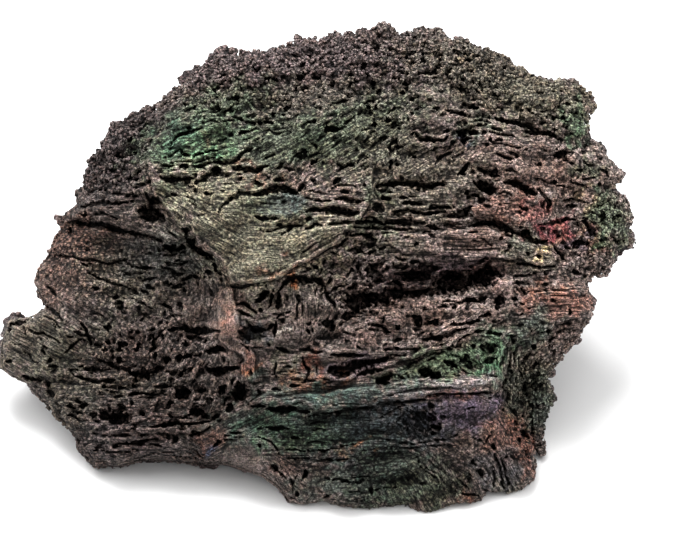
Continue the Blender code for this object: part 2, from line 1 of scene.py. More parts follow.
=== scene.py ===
"""Turgite specimen: a spongy lump of iron oxide with its knobs, ledges, films and stage."""

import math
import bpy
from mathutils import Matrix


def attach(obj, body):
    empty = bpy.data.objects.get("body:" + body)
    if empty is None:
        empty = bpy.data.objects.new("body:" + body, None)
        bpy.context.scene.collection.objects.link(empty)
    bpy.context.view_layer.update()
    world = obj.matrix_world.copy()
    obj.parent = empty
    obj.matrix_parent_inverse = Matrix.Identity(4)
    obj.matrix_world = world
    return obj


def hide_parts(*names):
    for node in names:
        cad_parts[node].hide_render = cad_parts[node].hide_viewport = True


bl_info = {
    "name": "Turgite specimen",
    "version": (1, 0, 0),
    "blender": (4, 5, 0),
    "location": "View3D > Sidebar > Turgite",
    "description": "Builds a turgite mineral specimen, its crust of knobs and a plain pale stage",
    "category": "Add Mesh",
}

import bpy
import numpy as np
from mathutils import Matrix, Vector

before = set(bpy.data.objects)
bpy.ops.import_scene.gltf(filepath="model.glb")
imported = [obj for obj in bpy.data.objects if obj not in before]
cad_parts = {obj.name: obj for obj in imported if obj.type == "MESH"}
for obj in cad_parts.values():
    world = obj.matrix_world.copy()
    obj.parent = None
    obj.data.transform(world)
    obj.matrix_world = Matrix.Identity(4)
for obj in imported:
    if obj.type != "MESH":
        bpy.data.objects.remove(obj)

MM = 0.001
NODE = "turgite_specimen"
FINISH = "turgite_skin"
FAR = 1e9
TINY = 1e-9

# The lump as a whole, mm.
LEAN = math.radians(45)  # slope of the broad face
SHIFT = np.array((-0.142, 33.185, 0.0))  # the middle of the base in room coordinates
# The grid that the skin is worked out on, in face coordinates.
LOW_U, HIGH_U, LOW_V, HIGH_V, LOW_W, HIGH_W = -51.6, 51.6, -1.6, 78.4, -52.0, 10.4
RIM_DROP = 2.4  # how far the face turns down at its outline
RIM_WIDTH = 3.0
RIM_THICK = 2.8  # least thickness at the outline
TUCKED = (-21, 7, 15, 7, 3.2)  # where the outline tucks down further: u, v, half sizes, drop
FALL = 1.35  # how steeply the hidden side falls away from the outline
SHOULDER, SHOULDER_REACH = 3.2, 1.6  # extra fall close to the outline
BACK_EASE = 4  # how far in from the outline the hidden side has its whole swell
REAR = 91.0  # where the hidden side stops, measured up the slope
CLEAR_FLOOR = 0.07  # skin lower than this belongs to the flat underside

# Smooth noise: (strength, wavelength in mm, seed), and the number of cosines in it.
WAVES, SIDE_WAVES, BEND_WAVES = 24, 16, 8
BEND_U = ((0.22, 5.0, 1), (0.05, 1.7, 11))
BEND_V = ((0.2, 5.0, 2), (0.05, 1.7, 12))
RAGGED = ((0.6, 0.95, 41), (0.5, 0.5, 42))
FILM_BEND_U = ((0.9, 4.0, 33), (0.25, 0.9, 35))
FILM_BEND_V = ((0.6, 4.0, 34), (0.25, 0.9, 36))
FILM_TINT, FILM_RAGGED = (0.02, 6.0, 31), (0.18, 1.6, 32)
FACE_SWELL, SWELL_SQUEEZE = (0.35, 7.0, 3), (1, 1.9)
BACK_SWELL, REAR_SWELL = (0.9, 14.0, 4), (1.2, 18.0, 8)
PLUM_WAVES, PLUM_SHARE = (0.03, 9.0, 71), 0.9  # the share is of the colour itself

# How closely blended values follow their tables, mm.
NEAR_SOFT, WIDE_SOFT, PLATE_SOFT, SKIN_SOFT, PAINTED_LIGHT_SOFT = 2.5, 7.0, 2.0, 1.2, 5.0

# Edges of marks: START - FALL * distance, whole above 1 and gone below 0.
RIDGE_START = SLOT_START = CRACK_START = 1.5
SLOT_FALL, SLOT_RAGGED = 1.35, 0.3
SLOT_END, SLOT_MIDDLE = 0.45, 0.75  # share of the half width at the ends, and what the middle adds
RIDGE_TAPER, RIDGE_END = 6, 0.3
PIT_START, PIT_FALL, PIT_RAGGED, PIT_REACH = 2.2, 1.9, 0.16, 2.2
LINE_REACH = 3
SWELLING_SPREAD, SWELLING_REACH = 1.25, 2

# Scattered pores and cracks: chances, and (least, spread) of each size in mm.
PORES = 6000  # tries
PORE_SEED = 77
PORE_EDGE = 0.8  # none nearer the outline than this
PORE_CHANCE, CRACK_CHANCE, CRACK_FLOOR = 0.6, 0.3, 0.15
PORE_TURN = 0.35  # spread of its turn from the growth direction, radians
PORE_LENGTH, PORE_WIDTH, PORE_DEPTH = (0.2, 0.5), (0.2, 0.2), (0.5, 1.3)
PORE_START, PORE_FALL, PORE_RAGGED = 1.8, 1.2, 0.35
CRACK_LENGTH, CRACK_WIDTH, CRACK_DEPTH = (0.4, 1.2), (0.13, 0.12), (0.4, 1.0)
CRACK_END, CRACK_MIDDLE = 0.4, 0.8
CRACK_BOW, CRACK_MARGIN = 0.1, 0.8

# Ribs along the growth direction: (rounds of blur, height, length), mm.
RIBS = ((0, 0.14, 1.8), (1, 0.13, 2.6), (3, 0.12, 4.0))
RIB_SEED, RIB_HOP = 21, 0.25  # the hop is the step along a rib

# Beds of the sides and the back, mm.
MIDDLE_Y = 33.2  # where the lumps are measured from, in room coordinates
BED, BED_TILT = 4.3, 0.12  # thickness of a bed, and its rise to the right
WARP = (1.3, 17.0, 5)
BED_EDGE, LEDGE_RISE, BED_DROP = 2.6, 0.9, 0.65
FINE_BEDS, FINE_RISE, FINE_WARP = 2.7, 0.35, 0.2
LUMP_SPREAD = 0.6
SIDE_SWELL = (0.4, 6.5, 6)

# Granules and sponge, mm.
PORE = 0.72  # spacing of the granules
KNOB = 1.25  # spacing of the coarser granules of the hidden side
CLUSTER = 1.8  # spacing of the bunches of granules
GRANULE_RISE, KNOB_RISE = 1.15, 0.8
HIDDEN_GRANULES, HIDDEN_SPONGE, HIDDEN_CRUST = 0.8, 0.7, 0.55
GRANULE_BEND, GRANULE_BEND_WAVE, SPONGE_WAVES = 0.22, 2.6, (0.22, 2.4, 63)
CLUSTER_SEED, GRANULE_SEED, GRANULE_BEND_SEED = 62, 61, 50
CLUSTER_RADIUS, CELL_RADIUS = 0.45, 0.42  # in spacings
CLUSTER_SHARE, SPONGE_GRANULES = 0.5, 0.8
MIXED = 0.97, 0.03  # hidden shares at which the fine and the coarse granules stop
STRATA_BAND, GRANULE_BAND = 3.4, 1.4  # how far from the skin beds and granules are worked out
STRATA_FROM = 0.02  # hidden share at which the beds start
SKIN_LIFT, EDGE_LIFT = 0.3, 0.35  # skin added before granules cut it
SPUR = 0.2  # a spot with less rock round it than this share is a loose spur, and goes
SPUR_SLOPE = 7.0
SIDE_SLOPE, HIDDEN_DROP = 0.4, 0.3  # of the change to the hidden side, and its skin
CLOSE_CELLS, WIDE_CELLS = (3, 3, 2), (9, 9, 6)  # grid cells each way in a filled share

# Finish of the skin by its shape: sizes in mm, and shares.
LINE_DIRECTIONS = (0, 30, 60, 90, 120, 150)
LINE_FOCUS = 4  # the higher, the fewer directions a spot is streaked in
CREST_ROUNDS = (3, 24)  # rounds of smoothing that a fine and a coarse crest stand out from
FINE_CREST, COARSE_CREST = 0.05, 0.25  # the height of a whole crest
# The crust of knobs grows where the sponge is full and the rock is not packed.
CRUST_FROM, CRUST_SPAN, CRUST_PACKED, CRUST_SLOPE = 0.45, 0.4, 0.62, 6
BARE_FOOT = 0.8  # nothing is stuck lower than this
CORE_DEPTH, CORE_MOST, CORE_FLOOR = 4.0, 5, 0.3  # how far in from the outline a piece closes
CORE_SLOPE = 0.3  # least slope of the edge map that points the way in
HIDDEN_SOFT = 3.0  # width of the change from the broad face to the hidden side
# Painted shade in gaps and deep hollows: filled share where it starts, slope, and share of shade.
GAP_FROM, GAP_SLOPE, GAP_SHADE = 0.5, 5.0, 0.4
DEEP_FROM, DEEP_SLOPE, DEEP_SHADE = 0.56, 4.5, 0.55
# Painted highlight and shade by how proud a spot stands: strength, size in mm, and limits.
FINE_PAINTED_LIGHT, FINE_SIZE, FINE_LIMITS = 3.0, 0.1, (-1.5, 0.36)
COARSE_PAINTED_LIGHT, COARSE_SIZE, COARSE_LIMITS = 1.1, 0.25, (-1.0, 0.25)
# Painted highlight: proud crests tinted pale.
HIGHLIGHT_COARSE, HIGHLIGHT_FINE, HIGHLIGHT_FROM, HIGHLIGHT_SHARE = 0.3, 0.12, 0.45, 0.22
FILM_START, FILM_REACH, FILM_MARGIN = 1.6, 2.2, 1.5
GAMMA = 2.2
DARKEST = 0.02
INSIDE_COLOUR = (0.01, 0.01, 0.01, 1)  # of the faces that close a piece inside the rock

# Crust of knobs: which pieces carry one, and how thick it is on each.
CRUSTED = {
    "crown_left": 1.0, "crown_right": 0.9, "right_ledges": 0.9, "right_flank": 0.9,
    "hidden_left": 0.35, "hidden_right": 0.35,
}
KNOB_GAP = 0.55 * MM
KNOB_SIZES = (0.6, 1.15)  # least and greatest share of the knob radius
KNOB_TURNS = (6, 6, 6)

# Stage, metres and watts.
VIEW_WIDTH = 107.1 * MM
CAMERA_DISTANCE = 1.5
SENSOR = 36.0
CLIP_END = 20.0
AIM = Vector((3.69, -6.24, 26.94)) * MM
FLOOR_REACH, FLOOR_ROUGHNESS = 3.0, 0.9
WORLD_STRENGTH = 0.48
# Lights: (name, direction it comes from, distance, size, power).
LIGHTS = [
    ("key", (-0.15, 0.5, 0.85), 0.9, 0.55, 8.5),
    ("left_window", (-0.6, 0.3, 0.74), 1.1, 1.5, 12.0),
    ("right_window", (0.5, 0.3, 0.8), 1.1, 1.5, 10.0),
]

# Face coordinates, mm: u runs right, v up the slope and w rises square to the broad face.
# Outline of the broad face, anticlockwise from the left tip.
OUTLINE = [
    (-50, 26.3), (-50, 22.9), (-48.7, 21.6), (-46.1, 20.3), (-44.2, 18.4), (-42.1, 15.8),
    (-39.8, 13.7), (-38, 11.6), (-37.3, 9.8), (-35.4, 7.1), (-31.4, 7.1), (-28, 8.2), (-19.3, 7.7),
    (-14.1, 7.7), (-8.7, 5.8), (-5.9, 3.8), (-4.3, 1.4), (-2.8, 1.1), (1.2, 1.6), (4.3, 0.6),
    (8, 0.3), (13, 0.6), (16.9, -0.2), (19.3, -0.3), (21.7, 0.8), (26.1, 1.3), (26.7, 3),
    (29.5, 2.4), (32.5, 3.5), (34.1, 5.4), (34.4, 8.5), (35.7, 9), (35.8, 14.5), (37.1, 18),
    (36.1, 21.1), (38.2, 24.3), (41.3, 27.9), (43.2, 30.9), (42.9, 34), (42.3, 36.1), (45.6, 37.2),
    (46.9, 40), (47.4, 41.3), (49.8, 42.8), (49.2, 46), (48.7, 49), (46.4, 50.7), (48.3, 53.5),
    (45.4, 56.2), (44, 57.8), (42, 57.3), (42, 58.9), (42.9, 62.5), (44, 64.1), (42.9, 66),
    (40.9, 67.4), (36.6, 67.7), (33.8, 68.7), (30.6, 71.2), (24, 73.9), (22.4, 74.5), (21.3, 73.7),
    (19.3, 76.1), (16.1, 76.5), (14.7, 75.4), (12.7, 75.3), (10.5, 76.9), (8.7, 75.9), (5.1, 75.4),
    (3.2, 75.6), (1.7, 74.2), (-3.1, 74.7), (-5.9, 73.1), (-7.8, 71.8), (-10.9, 72.6),
    (-13.5, 71.5), (-15.7, 72.3), (-16.6, 70.9), (-19.5, 69), (-24.3, 64.9), (-26.4, 63.8),
    (-29.5, 62.5), (-30.8, 61.3), (-32.7, 61.4), (-32.8, 59.4), (-34.3, 57.6), (-36.1, 55),
    (-36.6, 53.1), (-36.5, 50.7), (-38.2, 50.7), (-37.9, 48.4), (-40.2, 46.3), (-40.6, 44.4),
    (-41.5, 43.2), (-42.6, 40.2), (-44.3, 38.1), (-44.7, 36.1), (-44, 34.2), (-42.6, 32),
    (-46.1, 30.2), (-48.9, 29.8), (-49.2, 28.2),
]

# Broad heights of the face: (u, v, w).
FACE = [
    (-30, 63, -14), (-18, 70, -15), (0, 75, -14), (15, 76, -14), (30, 71, -13), (42, 66, -10),
    (-8, 67, -7), (10, 69, -6), (26, 67, -6), (38, 62, -5), (-20, 61, -2), (0, 60, 0), (18, 60, 0),
    (30, 56, 0), (42, 55, -5), (47, 52, -9), (-36, 54, -14), (-30, 56, -9), (-26, 54, 0),
    (-15, 47, 3), (-9, 38, 5), (2, 46, 3), (16, 49, 2.5), (30, 48, 1), (44, 48, -8), (48, 43, -11),
    (43, 41, -7), (-40, 48, -12), (-31, 47, -4), (-24, 44, -2), (-43, 38, -11), (-34, 38, -6),
    (-22, 35, -5), (-18, 31, -4), (-47, 26, -10), (-39, 25, -7), (-30, 23, -4), (-20, 21, 0),
    (-14, 30, 4), (-4, 31, 3), (5, 40, 1), (14, 42, 2), (28, 41, 0), (8, 29, 3), (20, 30, 3),
    (31, 32, 0), (40, 33, -4), (20, 23, 2), (28, 23, 0), (33, 20, -7), (35, 13, -9), (-12, 20, 2),
    (-4, 18, 4), (10, 18.5, 4), (22, 20, 3.5), (-38, 14, -4), (-30, 11, 0), (-18, 10, 1),
    (-8, 10, 3), (4, 10, 3), (16, 10, 3), (26, 11, 2), (32, 9, -1), (0, 3, 1), (12, 2, 1),
    (24, 3, 0), (31, 4, -2), (-44, 19, -8),
]

# Raised or sunken plates: (outline, heights relative to the face as (u, v, w), edge width).
PLATES = {
    "leaf": (
        [(-24.5, 61), (-26.4, 57), (-26.8, 53.5), (-26, 50.5), (-24, 47.6), (-21.2, 45.2),
         (-19.2, 43), (-16.5, 40.6), (-14.2, 38), (-13.6, 35.8), (-9, 36), (-5.5, 37),
         (-2.5, 39.3), (0.5, 40.5), (3, 42.5), (5.3, 44.3), (7, 46.5), (8.7, 50), (9, 56),
         (2, 62), (-10, 63), (-20, 63)],
        [(-24, 60, 0.5), (-26, 53, 2), (-20, 45, 3), (-14, 38, 3.2), (-9, 37, 3),
         (0, 42, 2.4), (7, 48, 1.6), (0, 56, 0.4), (-10, 58, 0.2), (-15, 48, 2)],
        0.3),
    "brown_plate": (
        [(-44.8, 38), (-40.5, 45), (-37.8, 46), (-33, 45.6), (-29.5, 44.2), (-25.5, 43),
         (-22.5, 41.6), (-19.5, 43.3), (-17.3, 41), (-15.2, 38), (-14.6, 34), (-15.4, 31),
         (-16, 28.8), (-22.5, 28.8), (-25.5, 27.6), (-31, 28), (-36.5, 29.5), (-40.5, 30.2),
         (-43, 32.5), (-45.2, 35.5)],
        [(-42, 40, -0.4), (-33, 44, -2.6), (-24, 41, -2.2), (-17, 37, -1.6), (-30, 33, 0.2),
         (-40, 32, 0.5), (-18, 30, 0.8)],
        0.3),
    "left_ledge": (
        [(-38, 50), (-40.3, 46.4), (-38.5, 45.8), (-33, 46.4), (-30, 45), (-26, 43.8),
         (-22.8, 42.4), (-19.4, 44), (-22, 46), (-24.6, 48.3), (-27.5, 50.5), (-33, 50.5)],
        [(-38, 47, 0.8), (-31, 46, 1.2), (-24, 44, 0.8), (-30, 50, 0)],
        0.25),
    "column": (
        [(-15.6, 35.4), (-15.6, 30), (-15.4, 27), (-13.6, 25.4), (-12.2, 24.8), (-11.8, 22),
         (-12, 20.5), (-9.6, 20.5), (-9.6, 24), (-11.2, 26), (-12.3, 27.6), (-12.5, 31),
         (-13.4, 35.2)],
        [(-14, 34, 1.6), (-14, 27, 1.6), (-11, 21, 0.8)],
        0.25),
    "bench": (
        [(9, 31.9), (14, 31.9), (15, 33.4), (19, 33.6), (24, 34.6), (28, 37), (30.6, 36.8),
         (31, 32.5), (29, 30.5), (25, 28.8), (21.5, 26.9), (18, 25.4), (13, 23.9),
         (8, 24.8), (2, 25), (-0.5, 27), (3.6, 27.4), (5, 29.6), (8, 30.4)],
        [(12, 30, 1.6), (22, 32, 1.5), (28, 35, 1), (5, 26, 1.2), (18, 26, 1.6)],
        0.25),
    "ridge_plate": (
        [(-11.5, 18.4), (-6, 18.3), (0, 18.6), (9, 20), (16, 21), (28.6, 21.4), (28.6, 19.2),
         (22, 18.8), (15, 18.3), (8, 17), (2, 15.9), (-3.5, 16.7), (-10.5, 17.4)],
        [(-9, 18, 1.4), (5, 18, 1.8), (18, 20, 2), (28, 20, 1.4)],
        0.25),
    "striated_plate": (
        [(31.5, 36.6), (36, 36.4), (42.6, 36.3), (43, 33.5), (43.3, 30.6), (38, 29.9),
         (34, 30.3), (31.6, 32.6)],
        [(33, 34, 0.6), (41, 33, 1.4)],
        0.25),
    "right_sponge": (
        [(29.2, 25.5), (29, 20), (28, 18.3), (29.5, 16.5), (34, 14.2), (34.2, 9), (36.4, 9),
         (38, 18), (37, 21), (40, 25.5), (34.5, 26), (31, 28.2)],
        [(30, 24, -1.6), (33, 18, -2.2), (35.6, 11, -1.2), (37, 24, 0)],
        0.4),
    "centre_ledge": (
        [(11, 43.7), (16, 43.9), (24.5, 44.9), (30, 43.6), (33.6, 42.2), (38, 40.2),
         (37, 38.8), (30.6, 39.8), (22, 40.3), (14, 40.9), (11.5, 42)],
        [(14, 42, 1), (25, 42, 1.4), (35, 40, 1.6)],
        0.25),
}

# Slots and cracks: (half width, depth, then u and v of each point along them).
SLOTS = [
    # green zone and the dark band across the head of the leaf
    (0.14, 1, -24.8, 55.1, -19, 55.2, -14.5, 55.7), (0.3, 1.8, -24.9, 54.6, -22.8, 54.5),
    (0.42, 2, -21.8, 54.3, -20.2, 54.5), (0.34, 2, -19.7, 54.6, -17.2, 54.4),
    (0.34, 2, -16.7, 54.7, -14.4, 54.7), (0.3, 1.8, -14.6, 55, -13.2, 55.3, -11.7, 56.2, -10, 57),
    (0.5, 2.4, -13.2, 54.6, -11.4, 53.9, -9.6, 54, -8, 54.7),
    (0.34, 2.2, -24.7, 52.5, -23, 52.4, -21.2, 52.2, -19.8, 52.7),
    (0.58, 3, -18.6, 52.4, -16.5, 53.2, -14, 53.3), (0.1, 0.8, -23, 51.7, -20.5, 51.8, -18, 51.7),
    (0.14, 0.9, -21, 50.8, -19.7, 51.2, -19.3, 51.8), (0.1, 0.6, -16, 51.6, -12, 51.8),
    (0.1, 0.6, -24.8, 50.1, -21.4, 49.9), (0.1, 0.6, -20.3, 49, -18.8, 48.4),
    (0.2, 0.9, -18.9, 46.8, -18, 47),
    (0.3, 1.2, -23.4, 57.4, -22.3, 58.7, -21, 59.9, -19.8, 60.2, -18.3, 60.1),
    (0.2, 1.1, -18.3, 56.7, -16, 57, -14.3, 57.6), (0.16, 0.9, -15.8, 58.4, -14.2, 59),
    (0.14, 0.8, -12.7, 58.5, -10.6, 59.2), (0.14, 0.8, -24.5, 56.3, -21, 57),
    (0.32, 1.6, -12.9, 61.9, -11.3, 61.5, -9.5, 61.2, -7, 61),
    (0.24, 1.1, -16.4, 61.4, -14, 61.6, -12.4, 61.4), (0.12, 0.8, -12.4, 60.1, -9.5, 60.8),
    (0.14, 0.8, -8.4, 60, -6.5, 59.6, -4.9, 59.4), (0.15, 0.8, -5, 61.6, -3, 62.3),
    (0.22, 1.2, -8.9, 55.6, -7.1, 56.4), (0.16, 0.9, -5.5, 54.9, -4.9, 54.1, -3.6, 54.3),
    (0.36, 1.4, -15.3, 47.2, -14.8, 48.6, -13.9, 49.3, -12.2, 49.9, -10.4, 49.9, -9.4, 50.2),
    (0.6, 3.2, -10, 50, -7.8, 50.7, -5, 50.7, -3, 49.9), (0.3, 1.6, -10, 46.4, -8.7, 46, -6.4, 46),
    (0.2, 1.4, -8.6, 44.6, -5, 44.7, -2.2, 45.1), (0.3, 1.6, -1.5, 44.8, 0.3, 45.4, 1.2, 45.1),
    (0.28, 1.4, -2.1, 46.2, -0.8, 46.2), (0.18, 1.4, -1.6, 49.2, 0.5, 49, 3, 49.1),
    (0.34, 2.2, 3.3, 49.1, 5.2, 48.9, 7, 49), (0.5, 2.8, -1.4, 47.3, 1.5, 47.4, 4, 47.3, 6.7, 47.2),
    (0.3, 1.8, 2, 45.4, 4, 45.7, 5.4, 45.7), (0.14, 1, 2, 51.2, 5, 51.3, 7.5, 51.7),
    (0.14, 0.7, 3.7, 57.5, 4.4, 58.3), (0.16, 1, 7, 59.8, 9, 60.6),
    (0.18, 1.1, 10.4, 60.8, 13.2, 61.8), (0.16, 1.1, 8.2, 57.3, 9.8, 58.8),
    (0.14, 0.8, 3.2, 62.3, 6.5, 64), (0.14, 0.8, -0.4, 58.3, 1.6, 59.4),
    (0.3, 2, -27.2, 50.4, -25.8, 47.8, -24.2, 46.2),
    (0.34, 2.2, -21.4, 44.7, -19.9, 42.4, -17.6, 40.4), (0.3, 1.8, -16.6, 39.2, -15.4, 37.6),
    # left ledge and brown plate
    (0.36, 2.4, -37.6, 48.4, -35.4, 48.3, -33.6, 48.7, -31.4, 48.8, -29.6, 48.9),
    (0.2, 1.4, -37, 46.9, -34, 46.9, -32.4, 46.6, -31.2, 46), (0.12, 0.8, -37.4, 47.7, -35.4, 47.6),
    (0.1, 0.6, -34.2, 48.1, -30.6, 47.8),
    (0.5, 1.8, -37.8, 45.4, -34, 45.2, -31, 44.5, -28, 43.5, -25.5, 42.9),
    (0.34, 1.8, -30.4, 51.8, -29, 53, -27.5, 54.1), (0.14, 1, -35, 51.9, -31.6, 52.2),
    (0.18, 1.2, -42, 40.1, -38, 39.9, -34.8, 39.6, -32, 39, -29.3, 38.8),
    (0.24, 1.4, -36.3, 37.5, -34.8, 36.7, -33, 36.2, -30.5, 35.7, -29.5, 35.1),
    (0.12, 0.9, -31, 33.6, -29.2, 33.2, -27, 32.5), (0.14, 0.8, -31.6, 37.3, -27.5, 37.4),
    (0.14, 0.9, -27.6, 36.5, -25.2, 36.6), (0.16, 1.2, -25.2, 40.8, -23.8, 40.5, -21.6, 40.6),
    (0.16, 1.1, -24.6, 39.3, -22, 39, -19.6, 39.2), (0.3, 1.4, -23.2, 35.4, -21.8, 36, -20.3, 36.4),
    (0.34, 1.6, -24.5, 32.7, -23, 31.8, -22.4, 30.4), (0.14, 1, -15.3, 38.4, -14.2, 36.4),
    # wing
    (0.4, 1.4, -43, 32.8, -41.6, 31.4, -40.4, 30.2), (0.1, 0.7, -46.6, 29.2, -46.2, 28.6, -46, 28),
    (0.16, 1.1, -45.6, 28.7, -43.8, 28.3, -42.5, 27.8, -41, 27, -40.2, 26.2),
    (0.2, 0.5, -44.3, 27.9, -43.6, 26.6), (0.22, 1, -44, 25.4, -43, 24.6),
    (0.26, 1.2, -39.7, 27.9, -38.7, 27.4), (0.2, 1.1, -38.9, 28.3, -38, 28.2),
    (0.34, 2, -37.2, 29.6, -36.7, 28.6, -36.4, 27.6, -35.4, 26.3),
    (0.2, 1.4, -39.8, 25, -38.6, 26.2, -37.5, 26.9, -36.8, 26.6),
    (0.14, 0.7, -46.6, 24.9, -45.4, 24, -44.2, 23.6),
    (0.42, 2.4, -46.7, 21.5, -45.4, 20.9, -43.7, 20.4), (0.3, 1.2, -42.6, 23, -41.2, 22.8),
    (0.2, 1.2, -39.2, 22, -38.2, 20.9), (0.1, 0.5, -48.4, 26.8, -46.5, 25.8),
    (0.12, 0.6, -42.3, 29.9, -41, 28.9),
    # fibrous flank
    (0.5, 2.8, -23.6, 28.5, -21.5, 28.7, -20, 28.5, -17.4, 28.3, -15.6, 28.6),
    (0.4, 1.8, -20.6, 27.6, -18.4, 27.5), (0.4, 2, -38, 20.9, -35.6, 20.6, -33.6, 20.9),
    (0.26, 1.4, -37.4, 22.6, -34.4, 22.3, -32.6, 22.4), (0.2, 1.2, -34.6, 23.5, -33, 23.4),
    (0.55, 2.4, -30, 22, -28, 21.6, -26, 21.9, -24.2, 22.4),
    (0.6, 1.8, -23.6, 21.9, -21.6, 22, -19.7, 22.3), (0.14, 1, -34, 19.6, -31, 19.5, -29.6, 19.6),
    (0.22, 1.6, -26, 19.9, -22.8, 19.7), (0.12, 0.9, -34.4, 18.9, -31.6, 18.8),
    (0.26, 1.6, -30, 18.4, -26, 18.5, -23.4, 18.4),
    (0.32, 2, -26.2, 13.5, -24.6, 13.3, -22.3, 13.7, -18.6, 13.9, -16.8, 14.3),
    (0.12, 0.9, -36, 12.2, -33, 12, -29, 11.9), (0.26, 1.4, -32, 10.8, -28.6, 11, -25, 11.3),
    (0.14, 1, -35.5, 9.7, -32, 9.5, -28, 9.7), (0.2, 1.2, -24.6, 9.5, -22.2, 9.7),
    (0.22, 1.4, -20, 11.9, -18, 12.6, -16.8, 13.4),
    (0.2, 1.4, -23.5, 14.9, -21.6, 14.9, -19.6, 14.7), (0.2, 1, -26.4, 10.6, -24.8, 10.3),
    (0.16, 1, -22.4, 9, -21.2, 8.2), (0.16, 1, -20.8, 9.6, -19.6, 8.3),
    (0.16, 1, -19.4, 9.8, -18.2, 8.6), (0.7, 3.2, -17.4, 22.4, -15, 22.3, -12.4, 22.9),
    (0.16, 1, -20, 24, -18.4, 24.8), (0.3, 1.4, -39.6, 16.4, -38, 15.6, -37, 15.4),
    (0.24, 1.2, -38, 17.4, -36.6, 16.8),
    # boxwork beside the column
    (0.14, 1.2, -13.6, 35.2, -12, 35.2, -10.8, 35.5, -9.6, 35.7),
    (0.14, 1.4, -8.4, 35.7, -8.2, 34.8), (0.36, 2, -12.7, 32.6, -11.4, 33, -10.4, 32.2, -9.6, 31.4),
    (0.3, 2, -12.3, 31.3, -11.4, 30.8, -10.7, 30.6),
    (0.55, 2.8, -9.6, 33.5, -8.6, 34.2, -7.8, 34.4), (0.24, 2.2, -7.2, 34.8, -7, 33.6, -7.2, 32.2),
    (0.26, 2.4, -6, 35, -5.8, 33.4, -6.1, 31.9), (0.16, 1.2, -4.8, 34.8, -4.6, 33.4),
    (0.42, 2.8, -6.1, 34.9, -5.4, 36, -4, 36.7, -2.2, 36.9, -0.6, 36.5, 0.8, 35.6),
    (0.24, 1.4, 0.7, 35.7, 0.8, 34.8), (0.34, 2.6, 1.2, 35.5, 1.9, 34.4, 2.3, 32.9, 2.3, 32),
    (0.12, 0.9, -0.2, 32.8, 0.9, 32.4), (0.16, 1, -3.5, 32.5, -3.4, 30.6),
    (0.12, 0.8, -2.6, 32.4, -2.4, 31), (0.3, 2.4, -6.7, 29.9, -6.6, 28.8, -6.5, 27.6),
    (0.2, 1.6, -12, 26.6, -11.4, 25.8, -10.8, 25), (0.14, 1, -10.2, 25.7, -8.6, 25.6),
    (0.3, 1.6, -6.5, 25.8, -5.6, 25.6, -4.6, 25.3), (0.26, 1.6, -3, 25.5, -1.6, 25.7, 0.3, 25.3),
    (0.2, 1.2, -7, 30.9, -5.8, 31, -4.8, 30.8), (0.14, 1.2, -6.8, 24, -6.8, 22, -6.6, 21),
    (0.2, 1.6, -2, 24.6, -1.8, 22.6, -2.2, 20.6), (0.1, 0.6, -5.9, 23.6, -3, 23.4),
    (0.1, 0.6, -5.9, 22, -2.8, 21.8), (0.22, 1.4, -4.4, 20.1, -2.8, 20),
    (0.1, 0.8, -0.4, 24.4, -0.4, 20.6), (0.16, 1, 0.9, 20.9, 2, 20.8),
    (0.8, 3.6, 2, 22.4, 5, 22.7, 8, 23.4, 10.5, 24), (0.5, 2.8, 1.6, 22, 3.4, 21.7, 5, 22),
    (0.42, 2.6, 6.2, 21.5, 8, 21.9, 10.3, 22.5), (0.3, 1.6, 2.2, 24.9, 4.4, 24.6, 8, 24.9),
    (0.6, 2.2, 9.8, 20.6, 10.8, 21, 11.5, 21.6), (0.16, 1, 9.2, 19.8, 10.6, 19.6),
    # ledges right of the leaf
    (0.62, 3.2, 9.4, 51, 11, 51.7, 13, 51.9, 15.5, 51.5, 18, 51, 19.7, 51.2),
    (0.3, 1.6, 9.8, 50.4, 12, 50.5), (0.36, 1.8, 15.6, 50.6, 18.6, 50.5),
    (0.34, 1.8, 10.3, 49.1, 11.5, 49.6), (0.3, 2, 13, 48.6, 15, 48.4, 16.5, 48.7),
    (0.4, 2.4, 17.4, 48, 19, 48.1, 21.8, 47.9), (0.34, 2.2, 12.6, 47.4, 16, 47.2, 20.2, 47),
    (0.42, 2.4, 20.6, 46.1, 22.3, 46.9, 24.5, 47.7), (0.2, 1.4, 7.8, 46.3, 9.4, 46.2),
    (0.46, 2.4, 6.5, 45.3, 9, 45.7, 10.4, 45.2), (0.5, 2.2, 10.6, 45.6, 13, 45.6, 16.8, 45.5),
    (0.26, 1.8, 5.6, 44.6, 9, 44.6, 13, 44.4, 15, 44.6), (0.42, 1.8, 17, 45, 19, 44.6),
    (0.16, 1.2, 20, 45, 22.4, 45.3), (0.12, 0.9, 5, 43.9, 8, 43.8, 14.6, 43.6),
    (0.44, 2, 5.6, 43.3, 7.4, 43.6, 9.2, 43.2), (0.3, 1.6, 6.4, 42.3, 8.6, 42.4, 9.4, 43.2),
    (0.44, 2.2, 4.8, 41.3, 6.6, 41.2, 7.6, 40.6), (0.24, 1.4, 10, 41.3, 11, 41.6),
    (0.22, 1.4, 2.8, 41.8, 3.8, 42.4, 4.6, 43), (0.16, 1, 2.2, 41, 3.6, 40.8),
    (0.36, 1.6, 6.8, 39, 6.4, 37.8, 7.2, 36.6), (0.2, 1.2, 8, 39, 9.4, 38, 10.8, 36.6),
    (0.42, 1.8, 9.2, 36.8, 10.4, 36.3), (0.26, 1.2, 5.2, 38, 4.2, 36.6),
    (0.2, 1, 1.8, 39.8, 1.2, 38.8), (0.2, 1, -0.6, 39.2, 0, 38.4), (0.18, 0.9, -2, 38.6, -1, 38.7),
    (0.2, 1, 1.4, 37.6, 2.2, 37.2),
    (0.4, 2.2, 15.5, 59.6, 16.4, 58.9, 18, 58.5, 19.6, 58.6, 20.8, 59.3),
    (0.16, 0.9, 18.8, 57.1, 20.6, 57.4), (0.14, 0.9, 20.8, 55.9, 22.6, 56.6),
    (0.16, 1.2, 23.2, 60.3, 24.6, 60.9, 26.6, 60.7), (0.14, 1, 25.4, 61.9, 27.6, 61.2),
